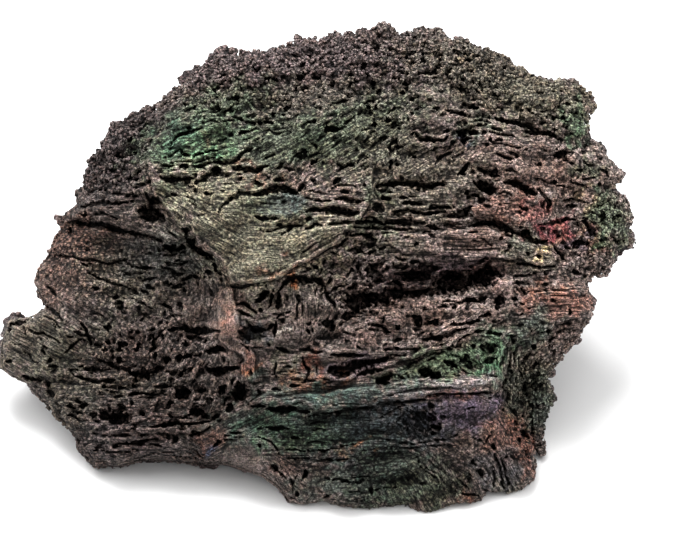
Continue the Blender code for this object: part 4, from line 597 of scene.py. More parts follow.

# Films and stains, and painted shade over the cavern, painted in order: (u, v, half width, half
# height, turn, colour, strength).
BROWN, GREY_BROWN, PLUM = (0.37, 0.3, 0.268), (0.365, 0.328, 0.308), (0.355, 0.315, 0.312)
OLIVE, BRONZE, GREEN = (0.345, 0.34, 0.285), (0.41, 0.4, 0.335), (0.275, 0.34, 0.262)
TEAL, EMERALD, PURPLE = (0.23, 0.3, 0.265), (0.23, 0.375, 0.27), (0.31, 0.275, 0.325)
RUST, ORANGE, PINK = (0.44, 0.28, 0.23), (0.6, 0.36, 0.23), (0.44, 0.37, 0.345)
PALE, CRIMSON, SLATE = (0.52, 0.47, 0.44), (0.4, 0.2, 0.21), (0.25, 0.27, 0.29)
CREAM, WHITE = (0.8, 0.72, 0.55), (0.8, 0.78, 0.74)
# SHADE is the colour of painted shade, laid over hollows
BLUE, SHADE = (0.26, 0.33, 0.48), (0.15, 0.11, 0.11)
FILMS = [
    (-5, 72, 34, 7, 0, PLUM, 0.7), (-30, 57, 9, 8, 30, PLUM, 0.6), (28, 69, 14, 5, -15, OLIVE, 0.6),
    (36, 65, 9, 4, 0, OLIVE, 0.5), (0, 65, 20, 3, 0, OLIVE, 0.5), (-18, 62, 9, 3, 25, GREEN, 0.6),
    (-20, 57.5, 8, 3.6, 10, GREEN, 0.85), (-6, 58, 12, 4, 5, GREEN, 0.55),
    (6, 60, 9, 4, 20, GREEN, 0.5), (-22, 59, 3, 2, 40, TEAL, 0.6),
    (-17, 56.6, 3.4, 0.7, 8, EMERALD, 0.7), (-21, 57.6, 3, 1.4, 20, EMERALD, 0.3),
    (-23.5, 51.2, 2, 0.8, 0, EMERALD, 0.5), (-12, 57.6, 1.6, 0.6, 10, PALE, 0.4),
    (-17.5, 58.6, 0.7, 1.2, 20, RUST, 0.35), (10, 56, 8, 5, 0, OLIVE, 0.6),
    (-12, 44, 13, 9, -20, BRONZE, 0.9), (-16, 50, 9, 1.6, 0, BRONZE, 0.8),
    (-6, 48, 5, 2.2, 0, GREEN, 0.4), (-2, 42, 8, 3, 25, BRONZE, 0.6),
    (-3.4, 48.4, 1.4, 1.2, 0, TEAL, 0.5), (-3, 53, 2.6, 1.8, 30, PINK, 0.6),
    (-9.4, 51.7, 1, 0.8, 0, RUST, 0.5), (-7.4, 51.3, 0.9, 0.4, 0, RUST, 0.5),
    (-12, 54.6, 0.9, 0.5, 0, RUST, 0.6), (-19, 53.3, 1, 0.6, 0, PALE, 0.5),
    (-23, 53, 1.8, 0.4, 0, PALE, 0.4), (0, 50, 4, 1, 0, PINK, 0.4),
    (-22.6, 46.3, 4.4, 0.55, -43, PINK, 0.7), (-17, 40.7, 3.4, 0.5, -46, PINK, 0.7),
    (-26.4, 52.6, 0.5, 3, 8, PINK, 0.6), (-1.6, 40.2, 7, 0.55, 27, PINK, 0.6),
    (7.2, 48, 0.8, 2.4, 0, PINK, 0.7), (7.4, 46.8, 0.7, 0.8, 0, ORANGE, 0.3),
    (-38, 41, 9, 5, -10, BROWN, 0.9), (-42, 35.5, 4, 3, 0, BROWN, 0.7),
    (-40, 43.5, 5, 2, 0, RUST, 0.18), (-28, 37, 8, 5, -10, OLIVE, 0.6),
    (-25, 40, 6, 4, 0, SLATE, 0.4), (-19, 33, 5, 3.4, 0, GREY_BROWN, 0.8),
    (-31, 47, 8, 2, -10, GREY_BROWN, 0.6), (-38, 46.2, 1.6, 0.6, 0, ORANGE, 0.2),
    (-24, 37, 1, 1.6, 0, PALE, 0.35), (-44, 26, 7, 4.4, -15, OLIVE, 0.8),
    (-46, 27, 4, 2.6, 0, GREY_BROWN, 0.4), (-34, 27.5, 2, 2.6, 0, OLIVE, 0.6),
    (-31, 20, 8, 1.6, 5, OLIVE, 0.5), (-28, 24, 7, 4, 0, BROWN, 0.4), (-30, 12, 9, 3, 0, PLUM, 0.6),
    (-22, 15, 7, 3, 0, BROWN, 0.4), (-40, 16, 4, 5, -30, OLIVE, 0.4),
    (-25, 12.4, 8, 0.9, 0, PINK, 0.4), (-14, 31, 1.6, 5, 0, BROWN, 0.7),
    (-13.6, 29, 1, 3.6, 0, PINK, 0.25), (-11.4, 24, 1.6, 2.2, 0, PINK, 0.6),
    (-14.6, 31, 1, 0.9, 0, RUST, 0.35), (-10.2, 22.6, 0.8, 0.7, 0, ORANGE, 0.7),
    (-10.6, 24.2, 0.6, 1, 0, RUST, 0.5), (-8, 23.4, 2, 1.4, 0, PINK, 0.4),
    (-9.9, 21.2, 1.2, 0.9, 0, TEAL, 0.6), (-8.4, 21.2, 0.6, 0.4, 0, PALE, 0.6),
    (-10, 27.8, 2, 1.2, 0, SLATE, 0.7), (-8, 27, 1.2, 0.6, 0, OLIVE, 0.6),
    (-3, 32, 3.4, 4, 0, GREY_BROWN, 0.6), (-4.2, 23, 2, 2, 0, OLIVE, 0.7),
    (-3.6, 21, 2, 0.7, 0, ORANGE, 0.35), (-0.4, 22.6, 0.8, 2.2, 0, RUST, 0.8),
    (-2, 19.6, 4, 0.5, 0, RUST, 0.6), (2, 20.4, 2.4, 0.5, 10, ORANGE, 0.4),
    (5, 21, 2, 0.4, 25, RUST, 0.3), (-6, 37.4, 3, 0.6, 20, ORANGE, 0.3),
    (-3.6, 38.6, 2, 0.5, 35, ORANGE, 0.4), (-4.4, 37.2, 0.9, 0.35, 15, ORANGE, 0.8),
    (-6, 28.6, 0.35, 0.5, 0, WHITE, 0.9), (6, 23, 5, 1.1, 10, PURPLE, 0.4),
    (12, 42, 4, 1.4, 0, OLIVE, 0.5), (24, 42, 8, 2, 0, PINK, 0.35), (24, 43.4, 5, 1, 0, BROWN, 0.5),
    (14, 48, 7, 3, 0, OLIVE, 0.5), (9, 50, 2, 1.6, 0, GREEN, 0.35),
    (9, 45.4, 3, 1.2, 0, GREEN, 0.4), (13.6, 45.6, 2.6, 0.5, 0, PALE, 0.6),
    (30, 55, 10, 3, -10, BROWN, 0.45), (38, 53, 6, 2.4, -10, BROWN, 0.5),
    (22, 53, 5, 3, 0, OLIVE, 0.4), (31, 48, 4.6, 2.2, 0, RUST, 0.4),
    (34, 47, 2, 2, 0, CRIMSON, 0.3), (38, 44.4, 4, 1.2, 0, CRIMSON, 0.75),
    (36, 44, 1.4, 0.8, 0, CRIMSON, 0.5), (39, 43, 2, 1.2, 0, RUST, 0.5),
    (44, 43, 1, 2.4, 20, RUST, 0.6), (41.4, 42.2, 1.6, 1, 0, PURPLE, 0.6),
    (43, 49, 0.9, 1.4, 20, CREAM, 0.5), (42.8, 47.8, 0.6, 0.5, 0, CREAM, 0.7),
    (36.4, 41.4, 1.1, 0.5, -10, CREAM, 0.95), (37.4, 41.1, 0.5, 0.3, 0, CREAM, 0.9),
    (39.1, 47.1, 0.3, 0.25, 0, CREAM, 0.7), (27.8, 69.2, 0.6, 0.5, 0, CREAM, 0.25),
    (23.4, 71.6, 0.6, 0.6, 0, CREAM, 0.4), (37, 40, 2.4, 0.8, 0, PINK, 0.6),
    (23.4, 59.2, 1, 1, 0, TEAL, 0.6), (23.6, 58, 0.6, 0.6, 0, BLUE, 0.4),
    (26, 61, 4, 1, -10, GREEN, 0.4), (40.6, 61.4, 2, 2.6, 0, GREEN, 0.7),
    (41, 59.4, 0.8, 1.6, 0, EMERALD, 0.4), (42.6, 54, 2, 1.4, 0, GREEN, 0.4),
    (46, 46, 3, 4, 0, GREEN, 0.6), (45.4, 43.4, 1.2, 1.6, 0, GREEN, 0.7),
    (44.6, 51, 1, 0.8, 0, EMERALD, 0.35), (33, 39.4, 4, 1.4, 0, OLIVE, 0.5),
    (32, 42.6, 2.4, 1.6, 0, GREEN, 0.35), (38, 34.6, 5, 1.6, 0, PINK, 0.6),
    (39, 33, 4.6, 2, 0, RUST, 0.5), (36, 35, 3, 0.6, 0, ORANGE, 0.2),
    (33, 33.4, 2, 1.6, 0, RUST, 0.3), (28.6, 36, 2, 1.8, 0, PINK, 0.7),
    (24.4, 38.6, 0.8, 0.4, 0, ORANGE, 0.7), (27, 38.6, 2, 1, 0, BROWN, 0.6),
    (22, 38.6, 4, 1.4, 0, PURPLE, 0.35), (15, 31, 7, 2.4, 0, BROWN, 0.6),
    (13, 31, 2.4, 1.4, 0, PINK, 0.5), (7, 27.4, 4, 1.4, 0, PINK, 0.55),
    (9.2, 26.4, 0.5, 0.4, 0, WHITE, 0.6), (24, 31, 3, 0.8, 15, GREY_BROWN, 0.6),
    (33, 28.6, 4, 2, 30, TEAL, 0.5), (27, 28, 3, 1.2, 30, GREEN, 0.5),
    (28, 25, 1.6, 3.2, 0, EMERALD, 0.55), (20, 23.4, 8, 2.2, 15, GREEN, 0.8),
    (16, 22.6, 3, 1.4, 0, OLIVE, 0.4), (22, 25, 3, 1, 20, GREEN, 0.5),
    (27, 22.4, 2, 1, 0, EMERALD, 0.6), (21.6, 22.2, 0.4, 0.3, 0, CREAM, 0.5),
    (23.4, 26.6, 1, 0.8, 0, PINK, 0.5), (13, 21.4, 1.4, 1.4, 0, TEAL, 0.4),
    (4, 18.6, 7, 1.1, 5, TEAL, 0.7), (1.4, 18.4, 3.2, 0.9, 0, EMERALD, 0.35),
    (-6, 18.8, 4, 0.9, 0, TEAL, 0.5), (8, 19.2, 3, 0.6, 8, GREEN, 0.5),
    (12, 19.3, 17, 1, 5, SLATE, 0.45), (19, 19.9, 8, 0.5, 4, PALE, 0.2),
    (26.6, 20.6, 1.6, 0.5, 0, WHITE, 0.2), (22, 18.6, 4, 0.3, 3, RUST, 0.8),
    (-2, 16.6, 6, 0.5, 0, PALE, 0.3), (0, 13, 14, 3.6, 0, TEAL, 0.75),
    (-8, 14.4, 3.4, 1.6, 25, EMERALD, 0.3), (-1, 11.6, 7, 1.2, 0, GREEN, 0.7),
    (-3, 10.2, 5, 0.8, 0, GREEN, 0.5), (10, 14.6, 6, 2.4, 10, SLATE, 0.6),
    (9, 9, 7, 2.4, 0, SLATE, 0.55), (16, 13.6, 4, 3, -20, SLATE, 0.6),
    (14, 6, 8, 3.4, -20, GREEN, 0.5), (6, 4, 8, 2.6, 0, TEAL, 0.55),
    (14, 2.4, 8, 1.6, 0, GREEN, 0.45), (19, 3, 5, 3, 0, OLIVE, 0.4),
    (22.6, 15.6, 5, 2.6, 0, PURPLE, 0.75), (26, 17, 3, 1.6, 0, PURPLE, 0.6),
    (30, 12, 4, 3.4, 0, RUST, 0.5), (31, 13.4, 1.8, 0.8, 0, RUST, 0.7),
    (32.4, 11.4, 1.4, 1.4, 0, RUST, 0.5), (26, 10.4, 4, 2, 0, BROWN, 0.4),
    (33, 7, 0.8, 2.6, 0, RUST, 0.7), (29, 6.4, 3.6, 3, 0, SLATE, 0.5),
    (31, 3.4, 3, 1, 0, OLIVE, 0.5), (23.4, 2.2, 1, 1, 20, RUST, 0.7),
    (21, 1.4, 2, 0.8, 0, PINK, 0.3), (6.6, 10.8, 1.4, 0.5, 20, ORANGE, 0.7),
    (5, 9.8, 1.6, 0.4, 0, ORANGE, 0.35), (-17, 11.4, 2.4, 1.4, 30, RUST, 0.6),
    (-16.6, 11.6, 1.6, 1, 0, PINK, 0.5), (-16.6, 9.6, 0.7, 0.6, 0, BLUE, 0.8),
    (-12.6, 8.8, 3.6, 1, 0, GREY_BROWN, 0.8), (-5, 6.6, 2.4, 1, -20, RUST, 0.25),
    (2.6, 2.4, 2.2, 0.7, -10, PINK, 0.6), (3.8, 2.8, 0.6, 0.4, 0, WHITE, 0.5),
    (33, 20, 4, 6, 0, GREEN, 0.35), (35, 16, 2, 4, 0, TEAL, 0.4), (37, 26, 4, 2, 30, BROWN, 0.3),
    # painted shade over the cavern and the hollow beside it
    (21, 37.8, 8, 1.8, 8, SHADE, 0.6), (12, 36, 4, 2, 0, SHADE, 0.5),
    (-5, 48.4, 3.4, 1.5, 0, SLATE, 0.45), (36.2, 41.2, 1.2, 0.8, -10, CREAM, 1),
]

# Painted light and shade: how much lighter or darker each part of the face is made, (u, v, share).
PAINTED_LIGHT = [
    (-20, 57, 2), (-27, 64, 0.52), (-14, 66, 1.45), (-16, 73, 1.1), (0, 72, 1.2), (25, 67, 1.4),
    (15, 57, 1.4), (-34, 50, 0.55), (43, 48, 2.4), (7, 42, 1.8), (-12, 46, 0.95), (-40, 38, 1.2),
    (-43, 22, 0.75), (-25, 18, 0.6), (-22, 9, 0.45), (-34, 10, 0.6), (0, 12, 0.8), (15, 11, 0.6),
    (30, 10, 1.2), (21, 25, 2.8), (13, 31, 1), (30, 38, 1.9), (-12, 32, 1.3), (-14, 18, 0.7),
    (-2, 18, 1.1), (41, 34, 1.6), (22, 3, 0.8),
]

# Lumps that stand out all round: (x, y, z, radius, swell), mm, from the middle of the base.
LUMPS = [
    (-30, 26, 22, 11, 1.4), (-12, 31, 34, 12, 1.3), (14, 32, 34, 13, 1.4), (32, 22, 30, 11, 1.3),
    (40, 8, 14, 10, 1.2), (20, 30, 14, 12, 1.5), (-6, 27, 12, 13, 1.4), (-34, 12, 10, 10, 1.3),
    (36, 24, 12, 10, 1.2), (-24, 24, 8, 9, -1.6), (4, 33, 22, 8, -1.5), (30, 29, 22, 7, -1.4),
    (-20, 31, 24, 7, -1.3), (46, 10, 24, 8, 1), (12, 24, 2, 9, -1), (14, 35, 40, 6, -2.2),
]

# The pieces that the skin is shared out among: outlines on the broad face, tried in order.
REGIONS = {
    "leaf_plate": PLATES["leaf"][0],
    "left_ledges": [
        (-47, 35.5), (-43, 31.2), (-36.5, 29), (-25.5, 27.4), (-15.6, 28.4), (-13.4, 30),
        (-13.6, 35.8), (-19, 43), (-25, 49), (-28, 51), (-41, 51)],
    "fibrous_flank": [
        (-52, 34), (-43, 31.2), (-36.5, 29), (-25.5, 27.4), (-15.6, 28.4), (-12.2, 24.8),
        (-11.6, 17), (-14, 4), (-40, 4), (-52, 18)],
    "lower_plate": [
        (-14, 17), (-6, 18.3), (8, 20), (16, 21), (28.6, 21.4), (30, 18), (38, 14), (38, -2),
        (-14, -2)],
    "right_flank": [
        (28, 26), (31, 33), (31, 40), (38, 43), (52, 43), (52, 14), (30, 14), (28, 20)],
    "middle_hollows": [
        (-16, 28), (-14, 37), (3, 43), (10, 43.6), (24, 45), (31, 43.5), (38, 43), (31, 33),
        (28, 20), (8, 19), (-12, 17)],
    "right_ledges": [
        (2, 43), (9, 50), (9, 62), (20, 62), (42, 58.6), (54, 56), (54, 43), (31, 43), (24, 45)],
}
CROWN_SPLIT, HIDDEN_SPLIT = 6, 0  # u between the left and right pieces of the crown and the back


def smooth_step(x):
    x = np.clip(x, 0.0, 1.0)
    return x * x * (3.0 - 2.0 * x)


def waves(points, wavelength, seed, count=WAVES):
    """Smooth noise of about unit spread: many cosines of one wavelength, turned every way."""
    rng = np.random.default_rng(seed)
    turn = rng.normal(size=(count, points.shape[-1]))
    turn /= np.linalg.norm(turn, axis=1, keepdims=True)
    phase = rng.uniform(0, 2 * math.pi, count)
    total = np.zeros(points.shape[:-1], np.float32)
    for direction, start in zip(turn, phase):
        k = (direction * (2 * math.pi / wavelength)).astype(np.float32)
        total += np.cos(points @ k + np.float32(start))
    return total * math.sqrt(2.0 / count)


def noise_of(points, layer, count=WAVES):
    """The waves of one (strength, wavelength, seed)."""
    strength, wavelength, seed = layer
    return strength * waves(points, wavelength, seed, count)


def bent(values, points, layers):
    """Values with layers of waves added to them."""
    for layer in layers:
        values = values + noise_of(points, layer)
    return values


def line_distance(u, v, points):
    """Distance to a broken line, and how far along it the nearest point lies, from 0 to 1."""
    ends = np.array(points, float)
    steps = np.linalg.norm(np.diff(ends, axis=0), axis=1)
    run = np.concatenate([[0.0], np.cumsum(steps)])
    best = np.full(u.shape, FAR)
    along = np.zeros(u.shape)
    for i, length in enumerate(steps):
        du, dv = (ends[i + 1] - ends[i]) / length
        t = np.clip((u - ends[i, 0]) * du + (v - ends[i, 1]) * dv, 0.0, length)
        gap = np.hypot(u - ends[i, 0] - t * du, v - ends[i, 1] - t * dv)
        nearer = gap < best
        best = np.where(nearer, gap, best)
        along = np.where(nearer, (run[i] + t) / run[-1], along)
    return best, along


def inside(u, v, outline):
    """Which points lie within a closed outline."""
    odd = np.zeros(u.shape, bool)
    for (au, av), (bu, bv) in zip(outline, outline[1:] + outline[:1]):
        crosses = (av > v) != (bv > v)
        reach = au + (v - av) * (bu - au) / (bv - av if bv != av else TINY)
        odd ^= crosses & (u < reach)
    return odd


def depth_inside(u, v, outline):
    """Distance to a closed outline, positive within it."""
    gap, _ = line_distance(u, v, outline + outline[:1])
    return np.where(inside(u, v, outline), gap, -gap)


def blend(u, v, heights, soft, power=1.5):
    """A smooth surface near scattered values (u, v, value, ...)."""
    table = np.array(heights, float)
    total = np.zeros(u.shape + (table.shape[1] - 2,))
    weight = np.zeros(u.shape)
    for row in table:
        share = 1.0 / ((u - row[0]) ** 2 + (v - row[1]) ** 2 + soft * soft) ** power
        total += share[..., None] * row[2:]
        weight += share
    mean = total / weight[..., None]
    return mean[..., 0] if table.shape[1] == 3 else mean


def oval(u, v, cu, cv, ru, rv, turn):
    """Distance from an oval's centre, 1 at its edge."""
    c, s = math.cos(math.radians(turn)), math.sin(math.radians(turn))
    du, dv = u - cu, v - cv
    return np.hypot((du * c + dv * s) / ru, (dv * c - du * s) / rv)


def running_mean(values, axis, reach, beyond):
    """Means over this many neighbours each way along an axis."""
    width = 2 * reach + 1
    pad = [(0, 0)] * values.ndim
    pad[axis] = (reach + 1, reach)
    run = np.cumsum(np.pad(values, pad, mode=beyond), axis=axis, dtype=values.dtype)
    ahead, behind = [slice(None)] * values.ndim, [slice(None)] * values.ndim
    ahead[axis], behind[axis] = slice(width, None), slice(0, -width)
    return (run[tuple(ahead)] - run[tuple(behind)]) / width


def blur(field, reach, rounds):
    """A soft blur of a map."""
    for axis in (0, 1):
        for _ in range(rounds):
            field = running_mean(field, axis, reach, "edge")
    return field


def filled_share(field, cells):
    """How much of the space round each grid point is rock: near 1 in a hole, near 0 on a spur."""
    share = (field > 0).astype(np.float32)
    for axis, reach in enumerate(cells):
        for _ in range(2):
            share = running_mean(share, axis, reach, "constant")
    return share


def nearest(places, shape):
    """The grid indices nearest to some places, kept within the grid."""
    return tuple(np.clip(np.rint(at), 0, n - 1).astype(int) for at, n in zip(places, shape))


def sampled(grid, i, j):
    """A map's value between its grid points."""
    short = 1.001  # keeps a place just short of the last grid point
    i, j = np.clip(i, 0, grid.shape[0] - short), np.clip(j, 0, grid.shape[1] - short)
    i0, j0 = i.astype(int), j.astype(int)
    a, b = i - i0, j - j0
    if grid.ndim == 3:
        a, b = a[:, None], b[:, None]
    near = grid[i0, j0] * (1 - b) + grid[i0, j0 + 1] * b
    far = grid[i0 + 1, j0] * (1 - b) + grid[i0 + 1, j0 + 1] * b
    return near * (1 - a) + far * a


def sized(span, share):
    """A size from a (least, spread) pair."""
    return span[0] + span[1] * share


class Face:
    """The broad face on a fine grid: its heights, its skin and its colours."""

    def __init__(self, step):
        self.step = step
        self.us = np.arange(LOW_U, HIGH_U, step)
        self.vs = np.arange(LOW_V, HIGH_V, step)
        self.u, self.v = np.meshgrid(self.us, self.vs, indexing="ij")
        self.points = np.stack([self.u, self.v], axis=-1).astype(np.float32)
        self.edge = depth_inside(self.u, self.v, OUTLINE)
        self.mark_u = bent(self.u, self.points, BEND_U)
        self.mark_v = bent(self.v, self.points, BEND_V)
        self.ragged = bent(0.0, self.points, RAGGED)
        skin = blend(self.u, self.v, skin_rows(), SKIN_SOFT, 2.0)
        self.granules, self.sponge, self.streak = skin[..., 0], skin[..., 1], skin[..., 2]
        self.flow = 0.5 * np.arctan2(skin[..., 4], skin[..., 3])
        self.front = self.shaped_front()
        self.back = self.shaped_back()

    def window(self, points, reach):
        """The part of the grid near a mark, so that a small mark costs little."""
        ends = np.array(points, float)
        low, high = ends.min(axis=0) - reach, ends.max(axis=0) + reach
        i0, i1 = np.searchsorted(self.us, (low[0], high[0]))
        j0, j1 = np.searchsorted(self.vs, (low[1], high[1]))
        return slice(i0, i1), slice(j0, j1)

    def near_line(self, points, reach):
        """The grid near a line mark, the distance to the line and the place along it."""
        part = self.window(points, reach)
        return part, *line_distance(self.mark_u[part], self.mark_v[part], points)

    def near_oval(self, cu, cv, ru, rv, turn, reach):
        """The grid near an oval mark, and the distance from its centre."""
        part = self.window([(cu, cv)], reach)
        return part, oval(self.mark_u[part], self.mark_v[part], cu, cv, ru, rv, turn)

    def shaped_front(self):
        w = blend(self.u, self.v, FACE, NEAR_SOFT)
        w = w + noise_of(self.points * np.float32(SWELL_SQUEEZE), FACE_SWELL)
        for outline, heights, width in PLATES.values():
            edge = depth_inside(self.mark_u, self.mark_v, outline)
            share = smooth_step(0.5 + edge / (2 * width))
            w = w + share * blend(self.mark_u, self.mark_v, heights, PLATE_SOFT)
        for cu, cv, ru, rv, turn, rise in SWELLINGS:
            spread = SWELLING_SPREAD
            part, near = self.near_oval(
                cu, cv, ru * spread, rv * spread, turn, SWELLING_REACH * max(ru, rv))
            w[part] += rise * np.clip(1 - near ** 2, 0, 1)
        w = w + self.ribs()
        for half, rise, *line in RIDGES:
            part, gap, along = self.near_line(pairs(line), LINE_REACH)
            taper = smooth_step(RIDGE_TAPER * along * (1 - along) + RIDGE_END)
            w[part] += rise * smooth_step(RIDGE_START - gap / half) * taper
        for half, depth, *line in SLOTS:
            part, gap, along = self.near_line(pairs(line), LINE_REACH)
            local = half * (SLOT_END + SLOT_MIDDLE * np.sin(math.pi * along))
            edge = SLOT_START - SLOT_FALL * gap / local - SLOT_RAGGED * self.ragged[part]
            w[part] -= depth * smooth_step(edge)
        for cu, cv, ru, rv, turn, depth in PITS:
            part, near = self.near_oval(cu, cv, ru, rv, turn, PIT_REACH * max(ru, rv))
            near = near + PIT_RAGGED * self.ragged[part]
            w[part] -= depth * smooth_step(PIT_START - PIT_FALL * near)
        w = self.pitted(w)
        u0, v0, ru, rv, more = TUCKED
        tucked = np.exp(-(((self.u - u0) / ru) ** 2) - ((self.v - v0) / rv) ** 2)
        inner = np.clip(self.edge / (RIM_WIDTH + more * tucked), 0, 1)
        return w - (RIM_DROP + more * tucked) * (1 - np.sqrt(1 - (1 - inner) ** 2))

    def ribs(self):
        """Fine ribs and grooves that follow the growth direction of each part."""
        rng = np.random.default_rng(RIB_SEED)
        total = np.zeros(self.u.shape)
        for rounds, height, reach in RIBS:
            noise = blur(rng.normal(size=self.u.shape), 1, rounds)
            noise /= noise.std()
            total += height * self.drawn_out(noise, reach)
        return total * self.streak

    def drawn_out(self, noise, reach):
        """Smears a noise along the growth direction."""
        rows, columns = noise.shape
        total = noise.copy()
        for sign in (1, -1):
            i, j = np.meshgrid(
                np.arange(rows, dtype=float), np.arange(columns, dtype=float), indexing="ij")
            for k in range(1, int(reach / RIB_HOP)):
                angle = self.flow[nearest((i, j), noise.shape)]
                i = i + sign * np.cos(angle) * RIB_HOP / self.step
                j = j + sign * np.sin(angle) * RIB_HOP / self.step
                share = math.exp(-((k * RIB_HOP / reach) ** 2) * 2)
                total += share * noise[nearest((i, j), noise.shape)]
        total /= total.std()
        return np.tanh(total)

    def pitted(self, w):
        """Small cracks along the growth direction and round pores in the sponge."""
        rng = np.random.default_rng(PORE_SEED)
        for _ in range(PORES):
            i, j = rng.integers(len(self.us)), rng.integers(len(self.vs))
            chance, size, shade, bend = rng.random(4)
            if self.edge[i, j] < PORE_EDGE:
                continue
            sponge, streak = self.sponge[i, j], self.streak[i, j]
            cu, cv, angle = self.us[i], self.vs[j], self.flow[i, j] + PORE_TURN * (bend - 0.5)
            pores = PORE_CHANCE * sponge
            if chance < pores:
                ru, rv = sized(PORE_LENGTH, size), sized(PORE_WIDTH, shade)
                part, near = self.near_oval(cu, cv, ru, rv, math.degrees(angle), PIT_REACH * ru)
                edge = PORE_START - PORE_FALL * near - PORE_RAGGED * self.ragged[part]
                w[part] -= sized(PORE_DEPTH, shade) * smooth_step(edge)
            elif chance < pores + CRACK_CHANCE * streak * (CRACK_FLOOR + sponge):
                reach = sized(CRACK_LENGTH, size)
                du, dv = reach * math.cos(angle), reach * math.sin(angle)
                bow = (cu - CRACK_BOW * dv, cv + CRACK_BOW * du)
                part, gap, along = self.near_line(
                    [(cu - du, cv - dv), bow, (cu + du, cv + dv)], CRACK_MARGIN)
                taper = CRACK_END + CRACK_MIDDLE * np.sin(math.pi * along)
                local = sized(CRACK_WIDTH, shade) * taper
                edge = CRACK_START - SLOT_FALL * gap / local
                w[part] -= sized(CRACK_DEPTH, shade) * smooth_step(edge)
        return w

    def shaped_back(self):
        edge = np.maximum(self.edge, 0)
        fall = FALL * edge + SHOULDER * (1 - np.exp(-edge / SHOULDER_REACH))
        back = blend(self.u, self.v, FACE, WIDE_SOFT) - RIM_DROP - fall
        back = back + noise_of(self.points, BACK_SWELL) * np.clip(edge / BACK_EASE, 0, 1)
        rear = self.v - REAR + noise_of(self.points, REAR_SWELL)
        return np.maximum(back, rear)

    def painted(self):
        """The colours of the films on the face grid, with painted light and shade in each part."""
        ragged = noise_of(self.points, FILM_RAGGED)
        colour = np.array(GREY_BROWN) + noise_of(self.points, FILM_TINT)[..., None]
        u = bent(self.u, self.points, FILM_BEND_U)
        v = bent(self.v, self.points, FILM_BEND_V)
        for cu, cv, ru, rv, turn, tint, strength in FILMS:
            part = self.window([(cu, cv)], FILM_REACH * max(ru, rv) + FILM_MARGIN)
            near = oval(u[part], v[part], cu, cv, ru, rv, turn)
            share = strength * smooth_step(FILM_START - near + ragged[part])[..., None]
            colour[part] = colour[part] * (1 - share) + np.array(tint) * share
        # painted light and shade: each part of the face is made lighter or darker by its share
        return colour * blend(self.u, self.v, PAINTED_LIGHT, PAINTED_LIGHT_SOFT)[..., None] ** (1 / GAMMA)


def pairs(values):
    """A flat row of coordinates as points."""
    return list(zip(values[::2], values[1::2]))


def skin_rows():
    """The skin table with its growth direction as a doubled vector, which blends well."""
    rows = []
    for *values, direction in SKIN:
        angle = 2 * math.radians(direction)
        rows.append((*values, math.cos(angle), math.sin(angle)))
    return rows


def face_to_room(points):
    """Face coordinates (u, v, w) to room coordinates: the face leans back, the floor is level."""
    u, v, w = points.T
    c, s = math.cos(LEAN), math.sin(LEAN)
    return np.column_stack([u, v * s - w * c, v * c + w * s])


def cells_near(points, size, seed):
    """Distance to the nearest of a scatter of seeds, one to each cube of the given size."""
    jitter = 0.75  # share of its cube that a seed may lie in
    low = np.array((LOW_U, LOW_V, LOW_W)) - 3 * size
    high = np.array((HIGH_U, HIGH_V, HIGH_W)) + 3 * size
    count = np.ceil((high - low) / size).astype(int) + 3
    rng = np.random.default_rng(seed)
    seeds = rng.uniform(0.5 - jitter / 2, 0.5 + jitter / 2, size=(3, count.prod()))
    seeds = seeds.astype(np.float32)
    where = (points - low.astype(np.float32)) / np.float32(size)
    home = np.floor(where - np.float32(0.5)).astype(np.int32)
    flat = (home[:, 0] * count[1] + home[:, 1]) * count[2] + home[:, 2]
    inner = where - home
    best = np.full(len(points), FAR, np.float32)
    for i, j, k in np.ndindex(2, 2, 2):
        at = flat + ((i * count[1] + j) * count[2] + k)
        gap = np.zeros(len(points), np.float32)
        for axis, step in enumerate((i, j, k)):
            gap += (inner[:, axis] - step - seeds[axis][at]) ** 2
        best = np.minimum(best, gap)
    return np.sqrt(best) * np.float32(size)


def steepness(height, step):
    """The share of an upright distance that is left square to a slope."""
    du, dv = np.gradient(height, step)
    most = 40.0  # squared slope of the steepest skin that is told apart
    return 1.0 / np.sqrt(1.0 + np.minimum(du * du + dv * dv, most))


def stepped(bed):
    """A ledge in each bed, from 0 to 1."""
    return smooth_step(np.abs((bed % 1.0) - 0.5) * BED_EDGE)


def strata(points):
    """Beds, lumps and waves of the sides and the back, mm outward."""
    room = face_to_room(points)
    swell = np.zeros(len(room), np.float32)
    for x, y, z, radius, rise in LUMPS:
        gap = ((room - np.array((x, y + MIDDLE_Y, z))) / (radius * LUMP_SPREAD)) ** 2
        swell += rise * np.exp(-gap.sum(axis=1))
    room = room.astype(np.float32)
    warp = noise_of(room, WARP, SIDE_WAVES)
    bed = (room[:, 2] + warp + BED_TILT * room[:, 0]) / BED
    fine = stepped(bed * FINE_BEDS + FINE_WARP * warp)
    ledges = swell + LEDGE_RISE * stepped(bed) + FINE_RISE * fine
    return ledges - BED_DROP + noise_of(room, SIDE_SWELL, SIDE_WAVES)


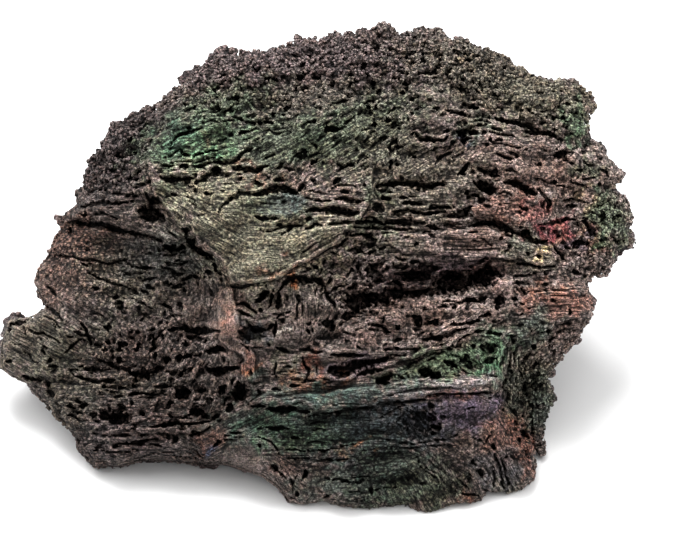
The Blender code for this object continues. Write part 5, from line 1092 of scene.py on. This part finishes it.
def rock_field(face, rise, relief):
    """Depth below the rock's skin on the grid, positive inside, mm."""

    def upright(values):
        return values[..., None].astype(np.float32)

    def grid_points(at):
        return np.column_stack([face.us[at[0]], face.vs[at[1]], ws[at[2]]]).astype(np.float32)

    ws = np.arange(LOW_W, HIGH_W, rise, dtype=np.float32)
    lift = np.float32(SKIN_LIFT)
    back = upright(np.minimum(face.back, face.front - RIM_THICK))
    below = (upright(face.front) + lift - ws) * upright(steepness(face.front, face.step))
    above = (ws - back + lift) * upright(steepness(face.back, face.step))
    field = np.minimum(np.minimum(below, above), upright(face.edge) + np.float32(EDGE_LIFT))
    hidden = np.clip(0.5 + (below - above) * np.float32(SIDE_SLOPE), 0, 1)
    del below, above
    at = np.nonzero((np.abs(field) < STRATA_BAND) & (hidden > STRATA_FROM))
    field[at] += strata(grid_points(at)) * hidden[at]
    at = np.nonzero(np.abs(field) < GRANULE_BAND)
    points = grid_points(at)
    share = hidden[at]
    granules = face.granules[at[:2]] * (1 - share) + HIDDEN_GRANULES * share
    sponge = face.sponge[at[:2]] * (1 - share) + HIDDEN_SPONGE * share
    bends = [
        waves(points, GRANULE_BEND_WAVE, GRANULE_BEND_SEED + k, BEND_WAVES) for k in range(3)]
    places = points + GRANULE_BEND * np.column_stack(bends)
    clusters = CLUSTER_RADIUS * CLUSTER - cells_near(places, CLUSTER, CLUSTER_SEED)
    cells = sponge * (CLUSTER_SHARE * clusters + noise_of(points, SPONGE_WAVES, SIDE_WAVES))
    fine = share < MIXED[0], PORE, GRANULE_RISE * (1 - share)
    coarse = share > MIXED[1], KNOB, KNOB_RISE * share
    for chosen, size, height in (fine, coarse):
        knobs = CELL_RADIUS * size - cells_near(places[chosen], size, GRANULE_SEED)
        cells[chosen] += (height * (granules + SPONGE_GRANULES * sponge))[chosen] * knobs
    field[at] += (relief * cells - HIDDEN_DROP * share).astype(np.float32)
    np.minimum(field, SPUR_SLOPE * (filled_share(field, CLOSE_CELLS) - SPUR), out=field)
    floor = (upright(face.v) + ws) * np.float32(math.cos(LEAN))
    np.minimum(field, floor, out=field)
    for axis in range(3):
        np.moveaxis(field, axis, 0)[[0, -1]] = -1.0
    return field


def net_vertices(field, at):
    """One point in each mixed cell, at the mean of where the skin crosses the cell's edges."""
    total = np.zeros((len(at[0]), 3), np.float32)
    count = np.zeros(len(at[0]), np.float32)
    for axis, a, b in np.ndindex(3, 2, 2):
        corner = np.insert((a, b), axis, 0)
        place = np.repeat(corner[None].astype(np.float32), len(at[0]), axis=0)
        first = field[tuple(at[k] + corner[k] for k in range(3))]
        corner[axis] = 1
        second = field[tuple(at[k] + corner[k] for k in range(3))]
        cross = (first > 0) != (second > 0)
        place[:, axis] = np.where(cross, first / np.where(cross, first - second, 1), 0)
        total += place * cross[:, None]
        count += cross
    return total / count[:, None]


def surface_nets(field):
    """A quad skin where the field passes through zero, in grid units, facing outward."""
    inner = field > 0
    corners = np.zeros(tuple(n - 1 for n in inner.shape), np.uint8)
    for offset in np.ndindex(2, 2, 2):
        corners += inner[tuple(slice(o, o + n) for o, n in zip(offset, corners.shape))]
    at = np.nonzero((corners > 0) & (corners < 8))
    number = np.full(corners.shape, -1, np.int32)
    number[at] = np.arange(len(at[0]), dtype=np.int32)
    places = np.column_stack(at).astype(np.float32) + net_vertices(field, at)
    quads = []
    for axis in range(3):
        low, high = [slice(1, -1)] * 3, [slice(1, -1)] * 3
        high[axis] = slice(2, None)
        cross = np.nonzero(inner[tuple(low)] != inner[tuple(high)])
        spot = [c + 1 for c in cross]
        outward = inner[tuple(spot)]
        second, third = (axis + 1) % 3, (axis + 2) % 3
        ring = []
        for a, b in ((1, 1), (0, 1), (0, 0), (1, 0)):
            cell = list(spot)
            cell[second] = spot[second] - a
            cell[third] = spot[third] - b
            ring.append(number[tuple(cell)])
        ring = np.column_stack(ring)
        ring[~outward] = ring[~outward][:, ::-1]
        quads.append(ring)
    return places, np.concatenate(quads)


def quad_edges(quads):
    """The two ends of every side of the quads, in the quads' own turn."""
    return np.concatenate([quads[:, [k, (k + 1) % 4]] for k in range(4)]).astype(np.int64)


def edge_keys(ends):
    """One number for each pair of ends."""
    return ends[:, 0] * (1 << 32) + ends[:, 1]


def joined_edges(quads):
    """Every edge of the quads once."""
    key = np.unique(edge_keys(np.sort(quad_edges(quads), axis=1)))
    return np.column_stack([key >> 32, key & 0xFFFFFFFF])


def largest_body(places, quads):
    """The one body that is left when loose crumbs and sealed bubbles go."""
    edges = joined_edges(quads)
    label = np.arange(len(places))
    while True:
        low = np.minimum(label[edges[:, 0]], label[edges[:, 1]])
        fresh = label.copy()
        np.minimum.at(fresh, edges[:, 0], low)
        np.minimum.at(fresh, edges[:, 1], low)
        fresh = fresh[fresh]
        if np.array_equal(fresh, label):
            break
        label = fresh
    names, sizes = np.unique(label, return_counts=True)
    keep = label == names[sizes.argmax()]
    fresh = np.cumsum(keep) - 1
    return places[keep], fresh[quads[keep[quads[:, 0]]]]


def corner_normals(places, quads):
    """Unit normals of the vertices."""
    a, b, c, d = (places[quads[:, k]] for k in range(4))
    across = np.cross(c - a, d - b)
    total = np.zeros_like(places)
    for axis, corner in np.ndindex(3, 4):
        total[:, axis] += np.bincount(quads[:, corner], across[:, axis], len(places))
    return total / np.maximum(np.linalg.norm(total, axis=1, keepdims=True), TINY)


def crests(places, quads, out, rounds):
    """How far each vertex stands proud of its neighbours, for each number of smoothing rounds."""
    edges = joined_edges(quads)
    ends = np.concatenate([edges, edges[:, ::-1]])
    ends = ends[np.argsort(ends[:, 0], kind="stable")]
    count = np.bincount(ends[:, 0], minlength=len(places))
    start = np.concatenate([[0], np.cumsum(count)[:-1]])
    soft = places.astype(np.float64)
    found = []
    for k in range(1, max(rounds) + 1):
        soft = 0.5 * soft + 0.5 * np.add.reduceat(soft[ends[:, 1]], start) / count[:, None]
        if k in rounds:
            found.append(((places - soft) * out).sum(axis=1))
    return found


class Rock:
    """The whole skin of the rock with its finish, before it is shared out among the pieces."""

    def __init__(self, step, rise, relief):
        self.face = face = Face(step)
        field = rock_field(face, rise, relief)
        grid, self.quads = largest_body(*surface_nets(field))
        face_places = grid * np.array((step, step, rise)) + (LOW_U, LOW_V, LOW_W)
        self.u, self.v, self.w = face_places.T
        self.at = grid[:, 0], grid[:, 1]
        room = face_to_room(face_places)
        room[:, 2] = np.where(room[:, 2] < CLEAR_FLOOR, 0, room[:, 2])
        self.places = room - SHIFT
        out = corner_normals(room, self.quads)
        fine, coarse = crests(room, self.quads, out, CREST_ROUNDS)
        near = nearest(grid.T, field.shape)
        packed, wide = (filled_share(field, cells)[near] for cells in (CLOSE_CELLS, WIDE_CELLS))
        front, back = self.map(face.front), self.map(face.back)
        middle = 0.5 * (front + np.minimum(back, front - RIM_THICK))
        self.hidden = smooth_step(0.5 + (middle - self.w) / HIDDEN_SOFT)
        self.core = self.core_places(step)
        self.granules = self.map(face.granules) * (1 - self.hidden) + self.hidden
        self.crest = fine / FINE_CREST + coarse / COARSE_CREST
        self.lines = self.line_shares()
        # colours of the films with the painted light and shade of the rock
        self.film = self.shaded(self.map(face.painted()), fine, coarse, packed, wide)
        sponge = self.map(face.sponge) * (1 - self.hidden) + HIDDEN_CRUST * self.hidden
        crust = smooth_step((sponge - CRUST_FROM) / CRUST_SPAN)
        crust = crust * smooth_step((CRUST_PACKED - packed) * CRUST_SLOPE)
        self.crust = crust * smooth_step((room[:, 2] - BARE_FOOT) / BARE_FOOT)

    def map(self, grid):
        """The value of a map of the face at each vertex."""
        return sampled(grid, *self.at)

    def core_places(self, step):
        """A place deep in the rock for each vertex, where its piece can be closed."""
        face = self.face
        slab = 0.5 * (face.front + np.minimum(face.back, face.front - RIM_THICK))
        pull = np.clip(CORE_DEPTH - self.map(face.edge), 0, CORE_MOST)
        inward = [self.map(part) for part in np.gradient(blur(face.edge, 3, 2), step)]
        size = np.maximum(np.hypot(*inward), CORE_SLOPE)
        u, v = self.u + pull * inward[0] / size, self.v + pull * inward[1] / size
        return np.column_stack([u, v, sampled(slab, (u - LOW_U) / step, (v - LOW_V) / step)])

    def line_shares(self):
        """How strongly each vertex is streaked in each of six directions across the face."""
        flow = self.face.flow
        angle = 0.5 * np.arctan2(self.map(np.sin(2 * flow)), self.map(np.cos(2 * flow)))
        gaps = angle[:, None] - np.radians(LINE_DIRECTIONS)
        found = np.clip(np.cos(2 * gaps), 0, 1) ** LINE_FOCUS
        found /= np.linalg.norm(found, axis=1, keepdims=True)
        return found * (self.map(self.face.streak) * (1 - self.hidden))[:, None]

    def shaded(self, film, fine, coarse, packed, wide):
        """Colours of the films with painted shade in gaps and hollows, and painted highlight and
        shade by how proud a spot stands.
        """
        hidden = self.hidden[:, None]
        back = noise_of(self.places.astype(np.float32), PLUM_WAVES)[:, None]
        back = np.array(PLUM) * PLUM_SHARE + back
        film = film * (1 - hidden) + back * hidden
        # painted highlight on proud spots and painted shade on sunken ones
        tone = np.exp(
            np.clip(FINE_PAINTED_LIGHT * fine / FINE_SIZE, *FINE_LIMITS)
            + np.clip(COARSE_PAINTED_LIGHT * coarse / COARSE_SIZE, *COARSE_LIMITS))
        # painted shade where rock is packed round a spot: in gaps and deep hollows
        gap = smooth_step((packed - GAP_FROM) * GAP_SLOPE)
        deep = smooth_step((wide - DEEP_FROM) * DEEP_SLOPE)
        tone *= (1 - GAP_SHADE * gap) * (1 - DEEP_SHADE * deep)
        # painted highlight: the proudest crests tinted pale
        proud = smooth_step(coarse / HIGHLIGHT_COARSE + fine / HIGHLIGHT_FINE - HIGHLIGHT_FROM)[:, None]
        film = film * (1 - HIGHLIGHT_SHARE * proud) + np.array(PALE) * HIGHLIGHT_SHARE * proud
        return np.clip(film, DARKEST, 1) ** GAMMA * tone[:, None]


ROCK = {}


def whole_rock():
    """The rock's skin, worked out once for all the operators."""
    sizes = bpy.context.scene.turgite_sizes
    key = (sizes.grid, sizes.rise, sizes.relief)
    if key not in ROCK:
        ROCK[key] = Rock(*key)
    return ROCK[key]


def piece_names(u, v, hidden):
    """The name of the piece that each face of the skin belongs to."""
    names = np.where(u < CROWN_SPLIT, "crown_left", "crown_right").astype("U20")
    free = np.ones(len(u), bool)
    for name, outline in REGIONS.items():
        found = free & inside(u, v, outline)
        names[found] = name
        free &= ~found
    names[hidden] = np.where(u < HIDDEN_SPLIT, "hidden_left", "hidden_right")[hidden]
    return names


def shares(rock):
    """The quads of each piece."""
    u, v, hidden = (values[rock.quads].mean(axis=1) for values in (rock.u, rock.v, rock.hidden))
    names = piece_names(u, v, hidden > 0.5)
    return {name: rock.quads[names == name] for name in np.unique(names)}


def closed_patch(rock, chosen):
    """The chosen quads as a closed block: their rim goes down into the rock to one point."""
    used, flat = np.unique(chosen, return_inverse=True)
    quads = flat.reshape(-1, 4)
    ends = quad_edges(quads)
    rim = ends[~np.isin(edge_keys(ends), edge_keys(ends[:, ::-1]))]
    rim_verts, where = np.unique(rim, return_inverse=True)
    where = where.reshape(-1, 2) + len(used)
    sunk = rock.core[used[rim_verts]].copy()
    sunk[:, 2] = np.maximum(sunk[:, 2], CORE_FLOOR - sunk[:, 1])
    below = face_to_room(np.vstack([sunk, sunk.mean(axis=0)])) - SHIFT
    centre = len(used) + len(rim_verts)
    skirt = np.column_stack([rim[:, 1], rim[:, 0], where[:, 0], where[:, 1]])
    fan = np.column_stack([where[:, 1], where[:, 0], np.full(len(rim), centre)])
    return used, quads, skirt, fan, below


def add_attribute(mesh, title, kind, values, fill=0.0):
    """A value for each vertex of the skin, and the fill on the vertices that close the piece."""
    full = np.full((len(mesh.vertices), *values.shape[1:]), fill, np.float32)
    full[:len(values)] = values
    field = {"FLOAT": "value", "FLOAT_VECTOR": "vector", "FLOAT_COLOR": "color"}[kind]
    mesh.attributes.new(title, kind, "POINT").data.foreach_set(field, full.ravel())


def skin_object(name, rock, chosen):
    """A mesh object of one piece of the rock, with attributes of its colours with painted light and
    shade, its crests and its granules.
    """
    used, quads, skirt, fan, below = closed_patch(rock, chosen)
    points = np.vstack([rock.places[used], below]) * MM
    corners = np.concatenate([quads.ravel(), skirt.ravel(), fan.ravel()]).astype(np.int32)
    lengths = np.concatenate([np.full(len(quads) + len(skirt), 4), np.full(len(fan), 3)])
    starts = np.concatenate([[0], np.cumsum(lengths)[:-1]]).astype(np.int32)
    mesh = bpy.data.meshes.new(name)
    mesh.vertices.add(len(points))
    mesh.loops.add(len(corners))
    mesh.polygons.add(len(lengths))
    mesh.vertices.foreach_set("co", points.astype(np.float32).ravel())
    mesh.loops.foreach_set("vertex_index", corners)
    mesh.polygons.foreach_set("loop_start", starts)
    mesh.update(calc_edges=True)
    flat = mesh.attributes.new("sharp_face", "BOOLEAN", "FACE")
    flat.data.foreach_set("value", np.arange(len(lengths)) >= len(quads))
    # the colour attribute carries the painted light and shade of the rock
    film = np.column_stack([rock.film[used], np.ones(len(used))])
    add_attribute(mesh, "film", "FLOAT_COLOR", film, INSIDE_COLOUR)
    for title in ("crest", "granules", "crust"):
        add_attribute(mesh, title, "FLOAT", getattr(rock, title)[used])
    add_attribute(mesh, "lines_low", "FLOAT_VECTOR", rock.lines[used, :3])
    add_attribute(mesh, "lines_high", "FLOAT_VECTOR", rock.lines[used, 3:])
    obj = bpy.data.objects.new(name, mesh)
    bpy.context.scene.collection.objects.link(obj)
    return obj


def settle(obj, own=True):
    """The object's mesh with its modifiers made real."""
    graph = bpy.context.evaluated_depsgraph_get()
    mesh = bpy.data.meshes.new_from_object(obj.evaluated_get(graph))
    obj.modifiers.clear()
    old = obj.data
    obj.data = mesh
    if own:
        bpy.data.meshes.remove(old)
    mesh.name = obj.name


def thinned(obj, ratio):
    """Fewer facets away from the piece's rim, which has to meet its neighbours."""
    mesh = obj.data
    held = {k for face in mesh.polygons if not face.use_smooth for k in face.vertices}
    group = obj.vertex_groups.new(name="free")
    group.add([k for k in range(len(mesh.vertices)) if k not in held], 1.0, "REPLACE")
    modifier = obj.modifiers.new("thin_out", "DECIMATE")
    modifier.ratio = ratio
    modifier.vertex_group = group.name
    modifier.vertex_group_factor = 1.0
    settle(obj)
    obj.vertex_groups.clear()


def new_node(tree, kind, links=(), **values):
    """A node with its settings, and its sockets linked or set by name or number."""
    made = tree.nodes.new(kind)
    for key, value in values.items():
        setattr(made, key, value)
    for key, source in dict(links).items():
        if isinstance(source, bpy.types.NodeSocket):
            tree.links.new(source, made.inputs[key])
        else:
            made.inputs[key].default_value = source
    return made


def knob_tree():
    """Knobs of many sizes scattered over a surface, thickest where its crust is full."""
    tree = bpy.data.node_groups.new("crust_knobs", "GeometryNodeTree")
    sockets = [("Geometry", "Geometry"), ("Density", "Float"), ("Radius", "Float"),
               ("Seed", "Int"), ("Material", "Material")]
    for title, kind in sockets:
        tree.interface.new_socket(title, in_out="INPUT", socket_type="NodeSocket" + kind)
    tree.interface.new_socket("Geometry", in_out="OUTPUT", socket_type="NodeSocketGeometry")

    def node(kind, links=(), **values):
        return new_node(tree, kind, links, **values)

    given = node("NodeGroupInput").outputs
    crust = node("GeometryNodeInputNamedAttribute", {"Name": "crust"}, data_type="FLOAT")
    points = node("GeometryNodeDistributePointsOnFaces", {
        "Mesh": given["Geometry"], "Density Max": given["Density"],
        "Density Factor": crust.outputs["Attribute"], "Distance Min": KNOB_GAP,
        "Seed": given["Seed"]}, distribute_method="POISSON")
    ball = node("GeometryNodeMeshIcoSphere", {"Radius": given["Radius"], "Subdivisions": 1})
    smooth = node("GeometryNodeSetShadeSmooth", {"Geometry": ball.outputs["Mesh"]})
    size = node("FunctionNodeRandomValue", {
        2: KNOB_SIZES[0], 3: KNOB_SIZES[1], "Seed": given["Seed"]}, data_type="FLOAT")
    turn = node("FunctionNodeRandomValue", {
        0: (0, 0, 0), 1: KNOB_TURNS, "Seed": given["Seed"]}, data_type="FLOAT_VECTOR")
    balls = node("GeometryNodeInstanceOnPoints", {
        "Points": points.outputs["Points"], "Instance": smooth.outputs["Geometry"],
        "Rotation": turn.outputs[0], "Scale": size.outputs[1]})
    real = node("GeometryNodeRealizeInstances", {"Geometry": balls.outputs["Instances"]})
    dressed = node("GeometryNodeSetMaterial", {
        "Geometry": real.outputs["Geometry"], "Material": given["Material"]})
    node("NodeGroupOutput", {"Geometry": dressed.outputs["Geometry"]})
    return tree


# Finish: sizes of its grain, metres.
GRAIN, SPECKLE, STAIN, HUE, CELL = 0.25 * MM, 0.42 * MM, 2.6 * MM, 0.5 * MM, 0.46 * MM
NOISE_ROUGHNESS = 0.55
RIB_LENGTH, RIB_WIDTH = 2.4 * MM, 0.24 * MM
RIB_DEPTH = 3 * RIB_WIDTH
BUMP_DEPTH = 0.5 * MM
METALLIC, SPECULAR = 0.08, 0.24
# Ramps: (from, to, value at the start, value at the end).
RAMPS = {
    "grains": (0.39, 0.57, 0.0, 1.0),
    "specks": (0.36, 0.58, 0.0, 1.0),
    "grooves": (-0.09, 0.03, 0.0, 1.0),
    "grain tone": (0, 1, 0.55, 1.5),
    "speck tone": (0, 1, 0.8, 1.2),
    "painted shade in grooves": (0, 1, 0.3, 1.35),
    "painted shade between cells": (0.38, 0.68, 0.0, 0.92),
    "stain": (0.45, 0.62, 0.0, 0.45),
    "roughness": (0.3, 0.7, 0.8, 0.55),
    "worn": (0.2, 2.0, 0.0, 0.08),
}
HUE_SPAN, HUE_START = (0.25, 0.25, 0.28), (0.88, 0.87, 0.88)
SPECK_HEIGHT, GRAIN_HEIGHT, GROOVE_HEIGHT = 0.18, 0.14, 0.35


def rock_finish():
    """Dull to faintly metallic iron oxide: colours of its films with painted light and shade,
    speckle, ribs and granules, with painted shade in the grooves and between the granules.
    """
    material = bpy.data.materials.new(FINISH)
    material.use_nodes = True
    tree = material.node_tree
    shader = tree.nodes["Principled BSDF"]
    shader.inputs["Metallic"].default_value = METALLIC
    shader.inputs["Specular IOR Level"].default_value = SPECULAR

    def node(kind, links=(), **values):
        return new_node(tree, "ShaderNode" + kind, links, **values)

    def noise(size, detail):
        return node("TexNoise", {
            "Scale": 1.0 / size, "Detail": detail, "Roughness": NOISE_ROUGHNESS, "Vector": place})

    def ramp(source, name):
        titles = ("From Min", "From Max", "To Min", "To Max")
        sockets = {"Value": source, **dict(zip(titles, RAMPS[name]))}
        return node("MapRange", sockets, clamp=True).outputs["Result"]

    def maths(kind, a, b):
        return node("Math", {0: a, 1: b}, operation=kind).outputs["Value"]

    def attribute(name):
        return node("Attribute", attribute_name=name).outputs

    def ribbed():
        """Fine ribs in six directions, each as strong as the surface asks for."""
        split = [node("SeparateXYZ", {0: attribute(title)["Vector"]}).outputs
                 for title in ("lines_low", "lines_high")]
        total = 0.0
        for k, direction in enumerate(LINE_DIRECTIONS):
            across = Matrix.Rotation(math.radians(direction), 3, "Z")
            turn = (Matrix.Rotation(LEAN, 3, "X") @ across).to_euler("XYZ")
            mapping = node("Mapping", vector_type="TEXTURE", links={
                "Rotation": turn,
                "Scale": (RIB_LENGTH, RIB_WIDTH, RIB_DEPTH), "Vector": place})
            mapped = mapping.outputs["Vector"]
            ribs = node("TexNoise", {"Scale": 1.0, "Detail": 1.0, "Vector": mapped})
            rib = maths("SUBTRACT", ribs.outputs["Fac"], 0.5)
            total = maths("ADD", maths("MULTIPLY", rib, split[k // 3][k % 3]), total)
        return total

    place = node("TexCoord").outputs["Object"]
    granules = attribute("granules")["Fac"]
    speckle = noise(SPECKLE, 3.0).outputs["Fac"]
    grains = ramp(noise(GRAIN, 0.0).outputs["Fac"], "grains")
    specks = ramp(speckle, "specks")
    grooves = ramp(ribbed(), "grooves")
    cells = node("TexVoronoi", {"Scale": 1.0 / CELL, "Vector": place}).outputs["Distance"]
    tone = maths("MULTIPLY", ramp(grains, "grain tone"), ramp(specks, "speck tone"))
    # painted shade in the grooves between the ribs
    tone = maths("MULTIPLY", tone, ramp(grooves, "painted shade in grooves"))
    # painted shade between the granule cells
    between = maths("MULTIPLY", ramp(cells, "painted shade between cells"), granules)
    tone = maths("MULTIPLY", tone, maths("SUBTRACT", 1.0, between))
    # colours of the films, which carry painted light and shade
    scaled = node("VectorMath", {0: attribute("film")["Color"], "Scale": tone}, operation="SCALE")
    hues = node("VectorMath", {
        0: noise(HUE, 1.0).outputs["Color"], 1: HUE_SPAN, 2: HUE_START}, operation="MULTIPLY_ADD")
    dappled = node("VectorMath", {
        0: scaled.outputs["Vector"], 1: hues.outputs["Vector"]}, operation="MULTIPLY")
    factor, first, second, colour = 0, 6, 7, 2  # the colour sockets of a mix
    stained = node("Mix", data_type="RGBA", blend_type="MULTIPLY", links={
        factor: ramp(noise(STAIN, 3.0).outputs["Fac"], "stain"),
        first: dappled.outputs["Vector"],
        second: (*bpy.context.scene.turgite_colours.stain, 1)})
    height = maths(
        "ADD", maths("MULTIPLY", specks, SPECK_HEIGHT), maths("MULTIPLY", grains, GRAIN_HEIGHT))
    height = maths("ADD", height, maths("MULTIPLY", grooves, GROOVE_HEIGHT))
    height = maths("SUBTRACT", height, maths("MULTIPLY", cells, granules))
    bump = node("Bump", {"Strength": 1.0, "Distance": BUMP_DEPTH, "Height": height})
    worn = ramp(attribute("crest")["Fac"], "worn")
    rough = maths("SUBTRACT", ramp(speckle, "roughness"), worn)
    tree.links.new(stained.outputs[colour], shader.inputs["Base Color"])
    tree.links.new(rough, shader.inputs["Roughness"])
    tree.links.new(bump.outputs["Normal"], shader.inputs["Normal"])
    return material


def plain_finish(name, colour, roughness):
    material = bpy.data.materials.new(name)
    material.use_nodes = True
    shader = material.node_tree.nodes["Principled BSDF"]
    shader.inputs["Base Color"].default_value = (*colour, 1)
    shader.inputs["Roughness"].default_value = roughness
    return material


def finish_piece(obj):
    """Gives a piece its finish and says what it stands for."""
    material = bpy.data.materials.get(FINISH) or rock_finish()
    obj.data.materials.clear()
    obj.data.materials.append(material)
    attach(obj, "root")
    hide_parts(NODE)


def build_skin(hidden, facets):
    """The pieces of the broad face or of the hidden side, with this share of their facets."""
    rock = whole_rock()
    for name, quads in shares(rock).items():
        if name.startswith("hidden") == hidden:
            obj = skin_object(name, rock, quads)
            thinned(obj, facets)
            finish_piece(obj)


def build_knobs(host, seed, thickness, tree):
    """A crust of knobs on one piece."""
    sizes = bpy.context.scene.turgite_sizes
    knobs = bpy.data.objects.new(host.name + "_knobs", host.data)
    bpy.context.scene.collection.objects.link(knobs)
    modifier = knobs.modifiers.new("knobs", "NODES")
    modifier.node_group = tree
    values = {
        "Density": sizes.knob_density * thickness, "Radius": sizes.knob_radius, "Seed": seed,
        "Material": bpy.data.materials[FINISH]}
    for item in tree.interface.items_tree:
        if item.name in values:
            modifier[item.identifier] = values[item.name]
    settle(knobs, False)
    finish_piece(knobs)


def build_floor(context):
    mesh = bpy.data.meshes.new("floor")
    square = ((-1, -1), (1, -1), (1, 1), (-1, 1))
    corners = [(x * FLOOR_REACH, y * FLOOR_REACH, 0) for x, y in square]
    mesh.from_pydata(corners, [], [(0, 1, 2, 3)])
    floor = bpy.data.objects.new("floor", mesh)
    context.scene.collection.objects.link(floor)
    colour = context.scene.turgite_colours.floor
    mesh.materials.append(plain_finish("pale_floor", colour, FLOOR_ROUGHNESS))


def build_lights(context):
    world = context.scene.world or bpy.data.worlds.new("studio")
    context.scene.world = world
    world.use_nodes = True
    sky = world.node_tree.nodes["Background"]
    sky.inputs["Color"].default_value = (1, 1, 1, 1)
    sky.inputs["Strength"].default_value = WORLD_STRENGTH
    for name, direction, distance, size, power in LIGHTS:
        light = bpy.data.lights.new(name, "AREA")
        light.shape = "DISK"
        light.size = size
        light.energy = power
        lamp = bpy.data.objects.new(name, light)
        way = Vector(direction).normalized()
        lamp.location = AIM + way * distance
        lamp.rotation_euler = way.to_track_quat("Z", "Y").to_euler()
        context.scene.collection.objects.link(lamp)


def build_camera(context):
    camera = bpy.data.objects.new("camera", bpy.data.cameras.new("camera"))
    view = Vector((0, -math.sin(LEAN), math.cos(LEAN)))
    camera.location = AIM + view * CAMERA_DISTANCE
    camera.rotation_euler = view.to_track_quat("Z", "Y").to_euler()
    camera.data.sensor_width = SENSOR
    camera.data.lens = SENSOR * CAMERA_DISTANCE / VIEW_WIDTH
    camera.data.clip_end = CLIP_END
    context.scene.collection.objects.link(camera)
    context.scene.camera = camera
    context.scene.view_settings.view_transform = "Standard"
    context.scene.view_settings.look = "None"


class TurgiteSizes(bpy.types.PropertyGroup):
    """Sizes of the rock's skin."""

    grid: bpy.props.FloatProperty(
        name="Grid", description="Spacing of the skin's points across the broad face, mm",
        default=0.22, min=0.12)
    rise: bpy.props.FloatProperty(
        name="Rise", description="Spacing of the skin's points square to the broad face, mm",
        default=0.28, min=0.12)
    relief: bpy.props.FloatProperty(
        name="Relief", description="Strength of the granules and sponge holes",
        default=1.0, min=0.0)
    knob_radius: bpy.props.FloatProperty(
        name="Knob radius", description="Radius of the largest crust knobs",
        default=0.4 * MM, subtype="DISTANCE")
    knob_density: bpy.props.FloatProperty(
        name="Knob density", description="Crust knobs to each square metre of full crust",
        default=3.2e6)
    front_share: bpy.props.FloatProperty(
        name="Front share", description="Share of the broad face's facets that is kept",
        default=0.72, max=1.0)
    hidden_share: bpy.props.FloatProperty(
        name="Hidden share", description="Share of the hidden side's facets that is kept",
        default=0.25, max=1.0)


class TurgiteColours(bpy.types.PropertyGroup):
    """Colours that a user would change."""

    stain: bpy.props.FloatVectorProperty(
        name="Stain", description="Tint that the brown stain leaves",
        subtype="COLOR", default=(0.80, 0.62, 0.52))
    floor: bpy.props.FloatVectorProperty(
        name="Floor", description="Colour of the floor",
        subtype="COLOR", default=(0.93, 0.93, 0.93))


class TURGITE_OT_broad_face(bpy.types.Operator):
    """Build the pieces of the broad face"""

    bl_idname = "turgite.broad_face"
    bl_label = "Broad face"

    def execute(self, context):
        build_skin(False, context.scene.turgite_sizes.front_share)
        return {"FINISHED"}


class TURGITE_OT_hidden_side(bpy.types.Operator):
    """Build the sides, the back and the flat underside"""

    bl_idname = "turgite.hidden_side"
    bl_label = "Hidden side"

    def execute(self, context):
        build_skin(True, context.scene.turgite_sizes.hidden_share)
        return {"FINISHED"}


class TURGITE_OT_crust_knobs(bpy.types.Operator):
    """Scatter the round knobs of the crust over the crown, the right edge and the hidden side"""

    bl_idname = "turgite.crust_knobs"
    bl_label = "Crust knobs"

    def execute(self, context):
        tree = knob_tree()
        for seed, (host, thickness) in enumerate(CRUSTED.items()):
            build_knobs(bpy.data.objects[host], seed, thickness, tree)
        return {"FINISHED"}


class TURGITE_OT_stage(bpy.types.Operator):
    """Build the pale floor, the soft light and the camera"""

    bl_idname = "turgite.stage"
    bl_label = "Stage"

    def execute(self, context):
        build_floor(context)
        build_lights(context)
        build_camera(context)
        return {"FINISHED"}


class TURGITE_PT_panel(bpy.types.Panel):
    """Builds the specimen piece by piece"""

    bl_idname = "TURGITE_PT_panel"
    bl_label = "Turgite specimen"
    bl_space_type = "VIEW_3D"
    bl_region_type = "UI"
    bl_category = "Turgite"

    def draw(self, context):
        for group in (context.scene.turgite_sizes, context.scene.turgite_colours):
            for name in group.__annotations__:
                self.layout.prop(group, name)
        for operator in OPERATORS:
            self.layout.operator(operator.bl_idname)


OPERATORS = (
    TURGITE_OT_broad_face, TURGITE_OT_hidden_side, TURGITE_OT_crust_knobs, TURGITE_OT_stage)
CLASSES = (TurgiteSizes, TurgiteColours, *OPERATORS, TURGITE_PT_panel)


def register():
    for cls in CLASSES:
        bpy.utils.register_class(cls)
    bpy.types.Scene.turgite_sizes = bpy.props.PointerProperty(type=TurgiteSizes)
    bpy.types.Scene.turgite_colours = bpy.props.PointerProperty(type=TurgiteColours)


def unregister():
    del bpy.types.Scene.turgite_sizes
    del bpy.types.Scene.turgite_colours
    for cls in reversed(CLASSES):
        bpy.utils.unregister_class(cls)


def main():
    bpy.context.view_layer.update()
    register()
    bpy.ops.turgite.broad_face()
    bpy.ops.turgite.hidden_side()
    bpy.ops.turgite.crust_knobs()
    bpy.ops.turgite.stage()


if __name__ == "__main__":
    main()
